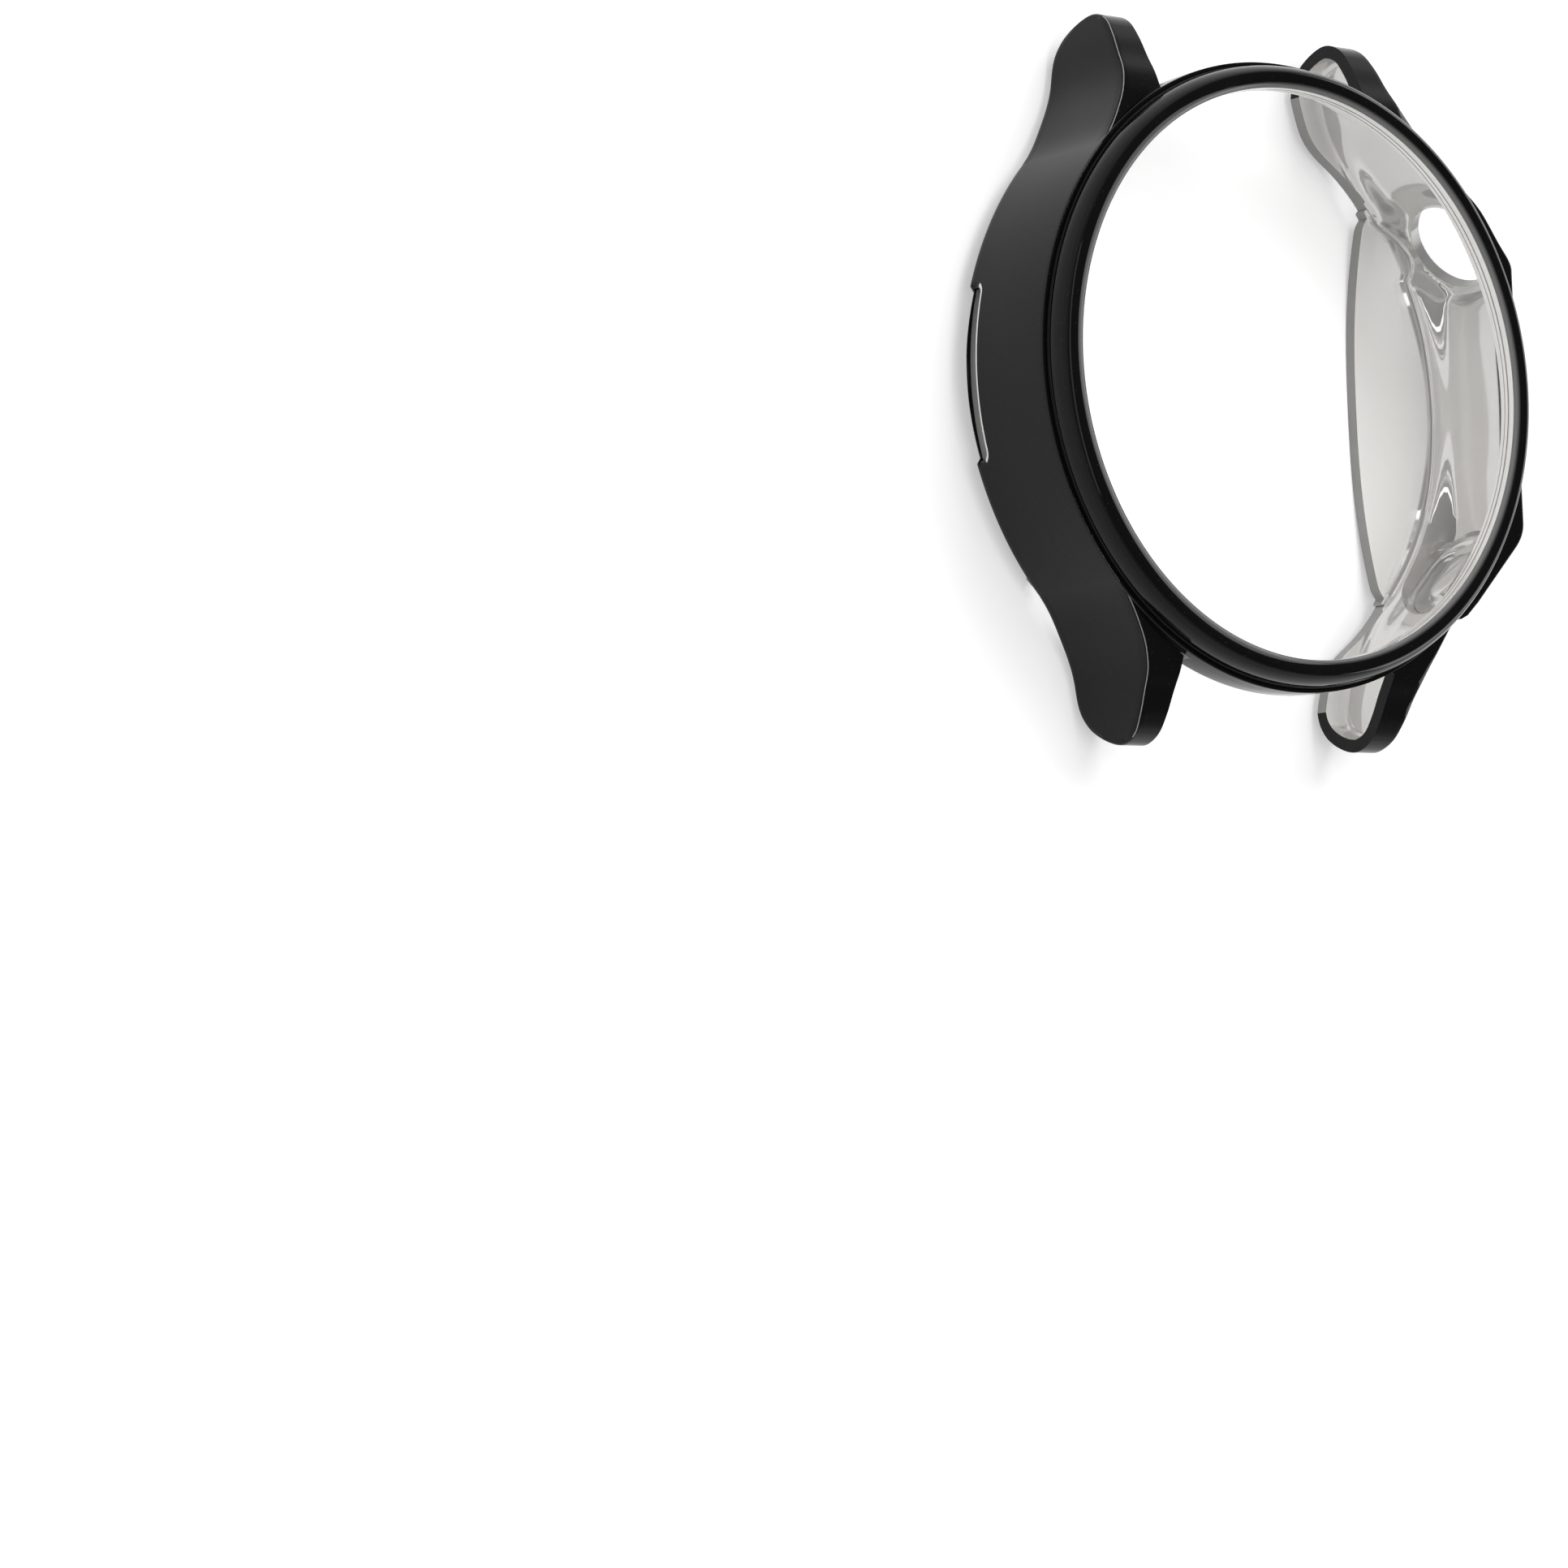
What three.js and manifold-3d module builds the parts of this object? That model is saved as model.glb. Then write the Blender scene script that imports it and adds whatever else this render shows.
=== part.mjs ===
import * as THREE from 'three';
import { mergeVertices } from 'three/addons/utils/BufferGeometryUtils.js';
import Module from 'manifold-3d';

// A flexible bumper case for a round smartwatch, lying on its back lips.
// Millimetres: +Z towards the screen, +Y towards 12 o'clock, +X towards the crown.

const wasm = await Module();
wasm.setup();

// Driving dimensions of the moulding
const wall = 1.0;
const bodyRadius = 24.3;
const deckTop = 11.2;
const deckThickness = 0.85;
const innerRadius = bodyRadius - wall;

// Clearances
const flexGap = 0.3;
const seam = 0.1;
const overrun = 5;

// Bead round the screen, and the seat under it
const deckLedge = 0.42;
const beadWidth = 1.93;
const seatWidth = 1.05;
const beadRise = 2.3;
const seatDrop = 1.05;
const seatThickness = 0.9;
const crestTop = deckTop + beadRise;
const seatTop = crestTop - seatDrop;
const seatBottom = seatTop - seatThickness;
const beadFootRadius = bodyRadius - deckLedge;
const screenRadius = beadFootRadius - beadWidth;
const seatRadius = screenRadius + seatWidth;

// Lug covers: they leave the round side at the root angle
const rootAngle = THREE.MathUtils.degToRad(43.1);
const lugReach = 3.8;
const strapPlane = 10.85;
const tipWidth = 1.92;
const lugLowest = 0.75;
const splitBeyondRoot = 1.35;
const rootStart = bodyRadius * Math.sin(rootAngle);
const rootX = bodyRadius * Math.cos(rootAngle);
const tipReach = bodyRadius + lugReach;
const flexSplit = rootStart + splitBeyondRoot;

// Foot of the side wall, where it turns into the back lips
const middleFoot = 1.3;
const sideFoot = 1.5;
const lugFoot = 1.1;
const footSpread = 8.2;

// Button pad and its boss
const padLength = 7.4;
const padHeight = 5.0;
const padMargin = 0.31;
const padMiddle = 6.6;
const padProud = 0.35;
const bossLength = 6.0;
const bossHeight = 2.6;
const bossDepth = 0.7;

// Crown guard: one flat facet and two slanted ones, as long as the button's window needs
const guardInset = 0.3;
const guardAngle = THREE.MathUtils.degToRad(44);
const guardBeyondRoot = 1.0;
const facetLength = padLength + (flexGap + padMargin) * 2;
const guardBottom = 2.6;
const guardFlare = 1.5;
const guardFlat = bodyRadius - guardInset;
const guardEnd = rootStart + guardBeyondRoot;
const guardHalf = guardEnd - facetLength * Math.cos(guardAngle);

// Openings in the walls
const crownHoleRadius = 3.74;
const crownHoleAlong = 2.15;
const crownRoof = 0.68;
const crownHoleHeight = deckTop - crownRoof - crownHoleRadius;
const slotLength = 13.0;
const slotHeight = 0.95;
const slotMiddle = 2.42;
const slotDepth = 1.7;

// Back lips
const lipWidth = 8.05;
const lipEdgeBow = 0.8;
const lipAngle = THREE.MathUtils.degToRad(39);
const lipEndRise = 1.25;
const lipDish = 1.7;
const landHalf = 8.0;
const landWidth = 1.1;
const lipEdge = bodyRadius - lipWidth;
const lipHalf = bodyRadius * Math.sin(lipAngle);

// Short skirts behind the ring, at 12 and 6 o'clock
const skirtDepth = 1.65;

// Smoothness of the round pieces, as counts of steps
const ringSteps = 96;
const outlineSteps = 40;
const lipSteps = 24;
const lipRows = 6;
const mergeShare = 1e-6;
const slimShare = 0.002;

// Colours of the plated skin and the clear core
const gloss = { color: 0x101012, roughness: 0.12, metalness: 0.0 };
const core = { color: 0xd4d2ce, roughness: 0.15, metalness: 0.2 };

const group = new THREE.Group();

// Solids from closed geometries, and back again
function toSolid(geometry) {
  const bare = new THREE.BufferGeometry();
  bare.setAttribute('position', geometry.getAttribute('position').clone());
  if (geometry.index) bare.setIndex(geometry.index.clone());
  const merged = mergeVertices(bare, bodyRadius * mergeShare);
  const vertProperties = new Float32Array(merged.getAttribute('position').array);
  const triVerts = new Uint32Array(merged.index.array);
  return new wasm.Manifold(new wasm.Mesh({ numProp: 3, vertProperties, triVerts }));
}

function addPart(name, solid, look) {
  const mesh = solid.simplify(wall * slimShare).getMesh();
  const geometry = new THREE.BufferGeometry();
  geometry.setAttribute('position', new THREE.BufferAttribute(mesh.vertProperties, 3));
  geometry.setIndex(new THREE.BufferAttribute(mesh.triVerts, 1));
  geometry.computeVertexNormals();
  const part = new THREE.Mesh(geometry, new THREE.MeshStandardMaterial(look));
  part.name = name;
  group.add(part);
}

// A flat outline pushed up along Z between two heights
function prism(points, low, high) {
  const shape = new THREE.Shape(points.map(([x, y]) => new THREE.Vector2(x, y)));
  const geometry = new THREE.ExtrudeGeometry(shape, { depth: high - low, bevelEnabled: false });
  geometry.translate(0, 0, low);
  return toSolid(geometry);
}

// A side profile of (y, z) points pushed along X between two places
function sidePrism(points, from, to) {
  const shape = new THREE.Shape(points.map(([y, z]) => new THREE.Vector2(y, z)));
  const geometry = new THREE.ExtrudeGeometry(shape, { depth: to - from, bevelEnabled: false });
  geometry.applyMatrix4(new THREE.Matrix4().makeBasis(
    new THREE.Vector3(0, 1, 0), new THREE.Vector3(0, 0, 1), new THREE.Vector3(1, 0, 0)));
  geometry.translate(from, 0, 0);
  return toSolid(geometry);
}

function box(x0, x1, y0, y1, z0, z1) {
  const geometry = new THREE.BoxGeometry(x1 - x0, y1 - y0, z1 - z0);
  geometry.translate((x0 + x1) / 2, (y0 + y1) / 2, (z0 + z1) / 2);
  return toSolid(geometry);
}

function disc(radius, low, high) {
  const geometry = new THREE.CylinderGeometry(radius, radius, high - low, ringSteps);
  geometry.rotateX(Math.PI / 2);
  geometry.translate(0, 0, (low + high) / 2);
  return toSolid(geometry);
}

// A ring turned around Z from a closed (radius, z) profile
function turned(profile) {
  const points = profile.map(([r, z]) => new THREE.Vector2(r, z));
  points.push(points[0].clone());
  const geometry = new THREE.LatheGeometry(points, ringSteps);
  geometry.rotateX(Math.PI / 2);
  const solid = toSolid(geometry);
  return solid.volume() > 0 ? solid : turned([...profile].reverse());
}

// Rings of equal length joined into one closed body
function loft(rings) {
  const count = rings[0].length;
  const positions = rings.flat(2);
  const index = [];
  for (let row = 0; row + 1 < rings.length; row++) {
    for (let i = 0; i < count; i++) {
      const a = row * count + i;
      const b = row * count + (i + 1) % count;
      index.push(a, b, b + count, a, b + count, a + count);
    }
  }
  const flat = rings[0].map(([x, y]) => new THREE.Vector2(x, y));
  const last = (rings.length - 1) * count;
  for (const [a, b, c] of THREE.ShapeUtils.triangulateShape(flat, [])) {
    index.push(c, b, a, last + a, last + b, last + c);
  }
  const geometry = new THREE.BufferGeometry();
  geometry.setAttribute('position', new THREE.Float32BufferAttribute(positions, 3));
  geometry.setIndex(index);
  return toSolid(geometry);
}

// An outline moved inwards by one distance, corner by corner
function inset(points, distance) {
  const area = THREE.ShapeUtils.area(points.map(([x, y]) => new THREE.Vector2(x, y)));
  const side = Math.sign(area);
  return points.map((point, i) => {
    const before = points[(i + points.length - 1) % points.length];
    const after = points[(i + 1) % points.length];
    const a = new THREE.Vector2(point[0] - before[0], point[1] - before[1]).normalize();
    const b = new THREE.Vector2(after[0] - point[0], after[1] - point[1]).normalize();
    const normal = new THREE.Vector2(-(a.y + b.y), a.x + b.x).normalize();
    const reach = side * distance / normal.dot(new THREE.Vector2(-a.y, a.x));
    return [point[0] + normal.x * reach, point[1] + normal.y * reach];
  });
}

// Plan outline: a round side that swings out into the straight lug covers
const roundX = (radius, y) => Math.sqrt(radius ** 2 - y ** 2);
const leadShare = 0.92;
const lugWidthShares = [[1, 1], [1.179, 0.58], [1.365, 0.285], [1.551, 0.167], [1.77, 0]];
const lead = rootStart * leadShare;
const tipX = strapPlane + tipWidth;
const lugCurve = new THREE.SplineCurve([
  new THREE.Vector2(roundX(bodyRadius, lead), lead),
  ...lugWidthShares.map(([y, x]) => new THREE.Vector2(tipX + (rootX - tipX) * x, rootStart * y)),
]);
const lugSamples = lugCurve.getPoints(outlineSteps);

function wallX(y) {
  const height = Math.abs(y);
  if (height <= lead) return roundX(bodyRadius, height);
  const next = lugSamples.findIndex((point) => point.y >= height);
  if (next < 1) return lugSamples[outlineSteps].x;
  const [a, b] = [lugSamples[next - 1], lugSamples[next]];
  return THREE.MathUtils.mapLinear(height, a.y, b.y, a.x, b.x);
}

const outlineHalf = tipReach + wall * 2;
const sideHeights = [-outlineHalf, -guardEnd, -guardHalf, guardHalf, guardEnd, outlineHalf];
for (let i = 0; i <= outlineSteps; i++) {
  sideHeights.push(tipReach * Math.sin((i / outlineSteps - 0.5) * Math.PI));
}
sideHeights.sort((a, b) => a - b);
const rightSide = sideHeights.map((y) => [wallX(y), y]);
const leftSide = [...rightSide].reverse().map(([x, y]) => [-x, y]);
const planOuter = [...rightSide, ...leftSide];
const planInner = inset(planOuter, wall);

// Side profile: flat deck, sloping lug front, round finger tip and the foot line
const fingerShares = [
  [0.592, 1.0], [0.62, 0.987], [0.68, 0.962], [0.74, 0.931], [0.815, 0.857], [0.858, 0.788],
  [0.913, 0.72], [0.968, 0.628], [0.99, 0.545], [1.0, 0.452], [0.991, 0.352], [0.975, 0.25],
  [0.95, 0.155], [0.907, 0.085], [0.86, 0.067],
];
const fingerTip = fingerShares.map(([y, z]) => [tipReach * y, deckTop * z]);
const footStartShare = 0.25;
const footLineShares = [[0.8, 0.4], [0.7, 1]];
const footLine = [
  ...footLineShares.map(([y, z]) => [tipReach * y, lugLowest + (lugFoot - lugLowest) * z]),
  [rootStart, sideFoot], [footSpread, sideFoot],
  [footSpread * (1 + footStartShare) / 2, (sideFoot + middleFoot) / 2],
  [footSpread * footStartShare, middleFoot],
];
const profileHalf = [...fingerTip, ...footLine];
const mirrored = [...profileHalf].reverse().map(([y, z]) => [-y, z]);
const sideOuter = [...mirrored, ...profileHalf];
const sideInner = inset(sideOuter, wall);

const farSide = Math.max(bodyRadius, tipReach) + overrun;
const sleeve = (plan, side) => (
  prism(plan, -overrun, crestTop).intersect(sidePrism(side, -farSide, farSide)));
const sleeveOuter = sleeve(planOuter, sideOuter);
const sleeveInner = sleeve(planInner, sideInner);

// Crown guard block: its flared outline stands out from the round wall
function guardX(y, distance) {
  const corner = guardHalf - distance * Math.tan(guardAngle / 2);
  return guardFlat - distance - Math.max(0, Math.abs(y) - corner) * Math.tan(guardAngle);
}

// One level of it, at a share of the way from the round wall to the flats
const sunkShare = -0.1;
const guardBack = wallX(guardEnd) - wall * 2;

function guardOutline(wallPoints, distance, bulge, height) {
  const near = wallPoints.filter(([x, y]) => x > 0 && Math.abs(y) <= guardEnd - distance);
  const front = near.map(([x, y]) => [x + (guardX(y, distance) - x) * bulge, y, height]);
  return [...front, [guardBack, front.at(-1)[1], height], [guardBack, front[0][1], height]];
}

const flareTop = guardBottom + guardFlare;
const guardOuter = loft([
  guardOutline(planOuter, 0, sunkShare, guardBottom), guardOutline(planOuter, 0, 1, flareTop),
  guardOutline(planOuter, 0, 1, deckTop),
]);
const guardInner = loft([
  guardOutline(planInner, wall, sunkShare, guardBottom + wall / 2),
  guardOutline(planInner, wall, 1, flareTop + wall / 2),
  guardOutline(planInner, wall, 1, deckTop - wall),
]);

// The hollow moulding, open between the lugs, at the screen and at the back
const wallTop = deckTop - deckThickness - flexGap;
const edgeRadius = bodyRadius + flexGap;
const hollow = sleeveInner.add(guardInner);
const backEdgeShares = [[0.98, 0.895], [1.06, 0.88], [1.139, 0.69], [1.217, 0.37], [1.3, 0.15], [1.4, 0]];
const backEdge = backEdgeShares.map(([y, x]) => (
  [THREE.MathUtils.lerp(strapPlane, wallX(rootStart * y), x), rootStart * y]));
const backTurned = [...backEdge].reverse();
const backEdgeLoop = [
  ...backEdge, ...backTurned.map(([x, y]) => [-x, y]),
  ...backEdge.map(([x, y]) => [-x, -y]), ...backTurned.map(([x, y]) => [x, -y]),
];
const lugInside = wallTop / 2;
const betweenLips = box(-farSide, farSide, -lipHalf - flexGap, lipHalf + flexGap, -overrun, lugInside);
const shell = sleeveOuter.add(guardOuter).subtract(hollow)
  .subtract(box(-strapPlane, strapPlane, -farSide, farSide, -overrun, crestTop))
  .subtract(disc(edgeRadius, wallTop, crestTop + overrun))
  .subtract(disc(innerRadius, lugInside, crestTop + overrun))
  .subtract(prism(backEdgeLoop, -overrun, lugInside))
  .subtract(disc(innerRadius, -overrun, lugInside).intersect(betweenLips));

// A facet frame: along the slanted facet, up, and out through the wall
function facetFrame(side, along, height) {
  const out = new THREE.Vector3(Math.cos(guardAngle), side * Math.sin(guardAngle), 0);
  const up = new THREE.Vector3(0, 0, 1);
  const run = new THREE.Vector3().crossVectors(up, out);
  const corner = new THREE.Vector3(guardFlat, side * guardHalf, height);
  const centre = corner.addScaledVector(run, side * along);
  return new THREE.Matrix4().makeBasis(run, up, out).setPosition(centre);
}

// A block with rounded ends, between two depths along the facet's outward line
function facetPad(frame, length, height, inner, outer) {
  const radius = height / 2;
  const half = length / 2 - radius;
  const shape = new THREE.Shape();
  shape.moveTo(-half, -radius);
  shape.lineTo(half, -radius);
  shape.absarc(half, 0, radius, -Math.PI / 2, Math.PI / 2, false);
  shape.lineTo(-half, radius);
  shape.absarc(-half, 0, radius, Math.PI / 2, Math.PI * 1.5, false);
  const geometry = new THREE.ExtrudeGeometry(shape, { depth: outer - inner, bevelEnabled: false });
  geometry.translate(0, 0, inner);
  geometry.applyMatrix4(frame);
  return toSolid(geometry);
}

function facetRound(frame, radius, inner, outer) {
  const geometry = new THREE.CylinderGeometry(radius, radius, outer - inner, outlineSteps);
  geometry.rotateX(Math.PI / 2);
  geometry.translate(0, 0, (inner + outer) / 2);
  geometry.applyMatrix4(frame);
  return toSolid(geometry);
}

// Crown hole, button window and speaker slot
const crownFrame = facetFrame(1, crownHoleAlong, crownHoleHeight);
const crownHole = facetRound(crownFrame, crownHoleRadius, -wall * 3, wall * 3);
const padFrame = facetFrame(-1, facetLength / 2, padMiddle);
const windowLength = padLength + flexGap * 2;
const windowHeight = padHeight + flexGap * 2;
const padWindow = facetPad(padFrame, windowLength, windowHeight, -wall * 3, wall * 3);
const slotFrame = new THREE.Matrix4().makeBasis(
  new THREE.Vector3(0, 1, 0), new THREE.Vector3(0, 0, 1), new THREE.Vector3(1, 0, 0),
).setPosition(-bodyRadius, 0, slotMiddle);
const speakerSlot = facetPad(slotFrame, slotLength, slotHeight, -wall, slotDepth + wall);

// Side walls and lug covers are cut from the hollow moulding at the flex lines
const slab = (side, y0, y1, low, high) => (
  box(side > 0 ? 0 : -farSide, side > 0 ? farSide : 0, y0, y1, low, high));
const upright = (side, y0, y1) => slab(side, y0, y1, -overrun, crestTop);
const facetEnd = guardHalf + seam / 2;
const flatEnd = guardHalf - seam / 2;
const rightWall = shell.subtract(crownHole).subtract(padWindow);
addPart('left_side_wall', shell.subtract(speakerSlot).intersect(upright(-1, -flexSplit, flexSplit)), gloss);
addPart('right_side_wall', rightWall.intersect(upright(1, -flatEnd, flatEnd)), gloss);
addPart('crown_facet', rightWall.intersect(upright(1, facetEnd, flexSplit)), gloss);
addPart('button_facet', rightWall.intersect(upright(1, -flexSplit, -facetEnd)), gloss);

const hookTop = sideFoot + wall;
for (const [row, up] of [['upper', 1], ['lower', -1]]) {
  for (const [hand, side] of [['left', -1], ['right', 1]]) {
    const near = flexSplit + flexGap;
    const [y0, y1] = up > 0 ? [near, farSide] : [-farSide, -near];
    const corner = (low, high) => slab(side, y0, y1, low, high);
    addPart(`${row}_${hand}_lug_cover`, shell.intersect(corner(hookTop + seam / 2, crestTop)), gloss);
    addPart(`${row}_${hand}_back_hook`, shell.intersect(corner(-overrun, hookTop - seam / 2)), gloss);
  }
}

// Back lips: dished half moons that run in from the foot of each side wall
function footHeight(y) {
  const share = THREE.MathUtils.smoothstep(Math.abs(y), footSpread * footStartShare, footSpread);
  return middleFoot + (sideFoot - middleFoot) * share;
}

function lipPoint(side, across, y, top) {
  const outerX = roundX(innerRadius - seam, y);
  const bow = (y / lipHalf) ** 2;
  const edgeX = lipEdge + lipEdgeBow * bow;
  const edgeZ = lipEndRise * THREE.MathUtils.smoothstep(Math.abs(y), landHalf, lipHalf);
  const flat = landWidth / (outerX - edgeX);
  const fall = Math.max(0, 1 - across / (1 - flat));
  const low = edgeZ + (footHeight(y) - edgeZ) * fall ** lipDish;
  return [side * (outerX + (edgeX - outerX) * across), y, low + (top ? wall : 0)];
}

function backLip(side) {
  const rings = [];
  for (let row = 0; row <= lipSteps; row++) {
    const y = lipHalf * (row / lipSteps * 2 - 1);
    const ring = [];
    for (let i = 0; i <= lipRows; i++) ring.push(lipPoint(side, i / lipRows, y, false));
    for (let i = lipRows; i >= 0; i--) ring.push(lipPoint(side, i / lipRows, y, true));
    rings.push(ring);
  }
  return rings;
}

// A skin of rings whose two ends are closed strip by strip
function stripLoft(rings) {
  const count = rings[0].length;
  const index = [];
  for (let row = 0; row + 1 < rings.length; row++) {
    for (let i = 0; i < count; i++) {
      const a = row * count + i;
      const b = row * count + (i + 1) % count;
      index.push(a, b, b + count, a, b + count, a + count);
    }
  }
  const last = (rings.length - 1) * count;
  for (let i = 0; i + 1 < count / 2; i++) {
    const [a, b, c, d] = [i, i + 1, count - 2 - i, count - 1 - i];
    index.push(a, c, b, a, d, c, last + a, last + b, last + c, last + a, last + c, last + d);
  }
  const geometry = new THREE.BufferGeometry();
  geometry.setAttribute('position', new THREE.Float32BufferAttribute(rings.flat(2), 3));
  geometry.setIndex(index);
  return geometry;
}

function closedStrip(rings) {
  const solid = toSolid(stripLoft(rings));
  return solid.volume() > 0 ? solid : toSolid(stripLoft(rings.map((ring) => [...ring].reverse())));
}

addPart('left_back_lip', closedStrip(backLip(-1)), gloss);
addPart('right_back_lip', closedStrip(backLip(1)), gloss);

// Bezel: the raised glossy ring, its deck, the clear seat under it and two skirts
const beadShares = [
  [0, 0.77], [0.07, 0.88], [0.16, 0.95], [0.26, 1], [0.52, 1], [0.62, 0.95], [0.73, 0.86],
  [0.86, 0.74], [0.95, 0.6], [1, 0.42],
];
const beadProfile = [
  [screenRadius, seatTop],
  ...beadShares.map(([r, z]) => [screenRadius + beadWidth * r, deckTop + (crestTop - deckTop) * z]),
  [beadFootRadius, deckTop], [bodyRadius, deckTop], [bodyRadius, deckTop - deckThickness],
  [seatRadius + seam, deckTop - deckThickness], [seatRadius + seam, seatTop],
];
addPart('bezel_ring', turned(beadProfile), gloss);
const seatProfile = [
  [screenRadius, seatBottom], [seatRadius, seatBottom],
  [seatRadius, seatTop - seam], [screenRadius, seatTop - seam],
];
addPart('bezel_inner_seat', turned(seatProfile), core);

const skirtTop = deckTop - deckThickness - seam;
const skirtProfile = [
  [innerRadius, skirtTop - skirtDepth], [bodyRadius, skirtTop - skirtDepth],
  [bodyRadius, skirtTop], [innerRadius, skirtTop],
];
const skirtRing = turned(skirtProfile);
const skirtHalf = strapPlane - flexGap;
for (const [name, up] of [['upper_skirt', 1], ['lower_skirt', -1]]) {
  const [y0, y1] = up > 0 ? [0, farSide] : [-farSide, 0];
  const half = box(-skirtHalf, skirtHalf, y0, y1, -overrun, crestTop);
  addPart(name, skirtRing.intersect(half), gloss);
}

// Press-through button: the pad in its window and the boss behind it
const bossTop = -wall - seam;
addPart('button_pad', facetPad(padFrame, padLength, padHeight, -wall, padProud), gloss);
addPart('button_boss', facetPad(padFrame, bossLength, bossHeight, bossTop - bossDepth, bossTop), core);

export default group;
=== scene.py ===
# %% [markdown]
# A round snap-on bumper case, drawn as one lesson in cells.
# The real object is a single thin moulding: clear soft plastic, plated black on its outer side.
# The frame below brings in the measured solids, and every piece made here is shaped to lie on one
# of them.
# Sizes of the case are millimetres, and MM turns them into Blender's metres at the last step.
# Camera, floor and lamps are placed in metres.

import math

import bmesh
import bpy
import numpy as np
from mathutils import Matrix, Vector


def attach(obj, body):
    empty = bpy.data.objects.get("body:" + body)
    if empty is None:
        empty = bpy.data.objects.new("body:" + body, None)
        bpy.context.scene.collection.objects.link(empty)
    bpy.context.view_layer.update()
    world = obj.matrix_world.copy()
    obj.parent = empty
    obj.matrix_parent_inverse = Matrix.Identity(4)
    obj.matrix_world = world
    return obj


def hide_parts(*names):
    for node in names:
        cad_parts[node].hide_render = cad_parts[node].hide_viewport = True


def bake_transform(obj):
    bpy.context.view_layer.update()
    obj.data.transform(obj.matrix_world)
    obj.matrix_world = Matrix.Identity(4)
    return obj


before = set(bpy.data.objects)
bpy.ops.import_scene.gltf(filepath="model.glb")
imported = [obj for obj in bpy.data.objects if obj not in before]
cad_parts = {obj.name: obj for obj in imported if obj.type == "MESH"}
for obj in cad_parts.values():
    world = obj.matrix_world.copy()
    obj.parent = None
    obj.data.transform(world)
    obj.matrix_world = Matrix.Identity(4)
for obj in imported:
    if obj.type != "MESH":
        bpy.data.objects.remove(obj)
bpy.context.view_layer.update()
MM = 0.001


# %% [markdown]
# The camera stands to the left of the case and well above it, as in the product picture.
# A camera is a place, a direction it looks in and a rough idea of up. The exact up is then worked
# out at a right angle to the direction, so that the three axes stay square. A long lens is used,
# because it shows the ring's oval with little distortion.

# %% Camera
CAMERA_AT = Vector((-0.270099, -0.0623095, 0.3087806))
CAMERA_LOOKS = Vector((0.59366968, 0.08092665, -0.80062925)).normalized()
CAMERA_UP = Vector((-0.01967919, 0.99609284, 0.08609169))
LENS = 121.2555
SENSOR_WIDTH = 36
NEAREST_SEEN = 0.01
camera_right = CAMERA_LOOKS.cross(CAMERA_UP).normalized()
camera_up = camera_right.cross(CAMERA_LOOKS)
camera_axes = Matrix((camera_right, camera_up, -CAMERA_LOOKS)).transposed().to_4x4()
camera_axes.translation = CAMERA_AT
camera_data = bpy.data.cameras.new("product_camera")
camera_data.lens = LENS
camera_data.sensor_width = SENSOR_WIDTH
camera_data.clip_start = NEAREST_SEEN
camera = bpy.data.objects.new("product_camera", camera_data)
camera.matrix_world = camera_axes
bpy.context.collection.objects.link(camera)
bpy.context.scene.camera = camera
print("camera distance in mm:", round(CAMERA_AT.length / MM))

# %% [markdown]
# The side of the case is round for most of its way, and swings out into the lug covers.
# A smooth curve through a few measured points keeps the reflections on the glossy wall calm.
# A cubic spline is used, because its bend changes slowly: a chain of short straight lines
# would show in the gloss as facets.

# %% Smooth curves through measured points
def spline(points, first_slope=None):
    """A function through (place, value) points whose slope and bend have no jumps."""
    places, values = np.array(points, float).T
    count = len(places)
    gaps = np.diff(places)
    slopes = np.diff(values) / gaps
    system = np.eye(count)
    wanted = np.zeros(count)
    for i in range(1, count - 1):
        system[i, i - 1:i + 2] = gaps[i - 1], 2 * (gaps[i - 1] + gaps[i]), gaps[i]
        wanted[i] = 6 * (slopes[i] - slopes[i - 1])
    if first_slope is not None:
        system[0, :2] = 2 * gaps[0], gaps[0]
        wanted[0] = 6 * (slopes[0] - first_slope)
    bends = np.linalg.solve(system, wanted)

    def value(at):
        at = np.clip(at, places[0], places[-1])
        i = np.clip(np.searchsorted(places, at) - 1, 0, count - 2)
        before = at - places[i]
        after = places[i + 1] - at
        gap = gaps[i]
        bent = (bends[i] * after ** 3 + bends[i + 1] * before ** 3) / (6 * gap)
        left = (values[i] / gap - bends[i] * gap / 6) * after
        right = (values[i + 1] / gap - bends[i + 1] * gap / 6) * before
        return bent + left + right
    return value


hill = spline([(0, 0), (1, 1), (2, 0)])
print("a spline through three points, halfway up:", round(float(hill(0.5)), 3))

# %% [markdown]
# Two more tools that the wall needs. One fades a value in without a kink at either end. The other
# sands the corners of a chain of points, by averaging each point with its neighbours: near ones
# count more, as a bell curve says. Ends are mirrored first, so that they stay where they are.

# %% Fading and sanding
SAMPLES_PER_SPREAD = 5
SPREADS_REACHED = 3


def smoothstep(value, low, high):
    share = np.clip((value - low) / (high - low), 0, 1)
    return share * share * (3 - 2 * share)


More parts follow.
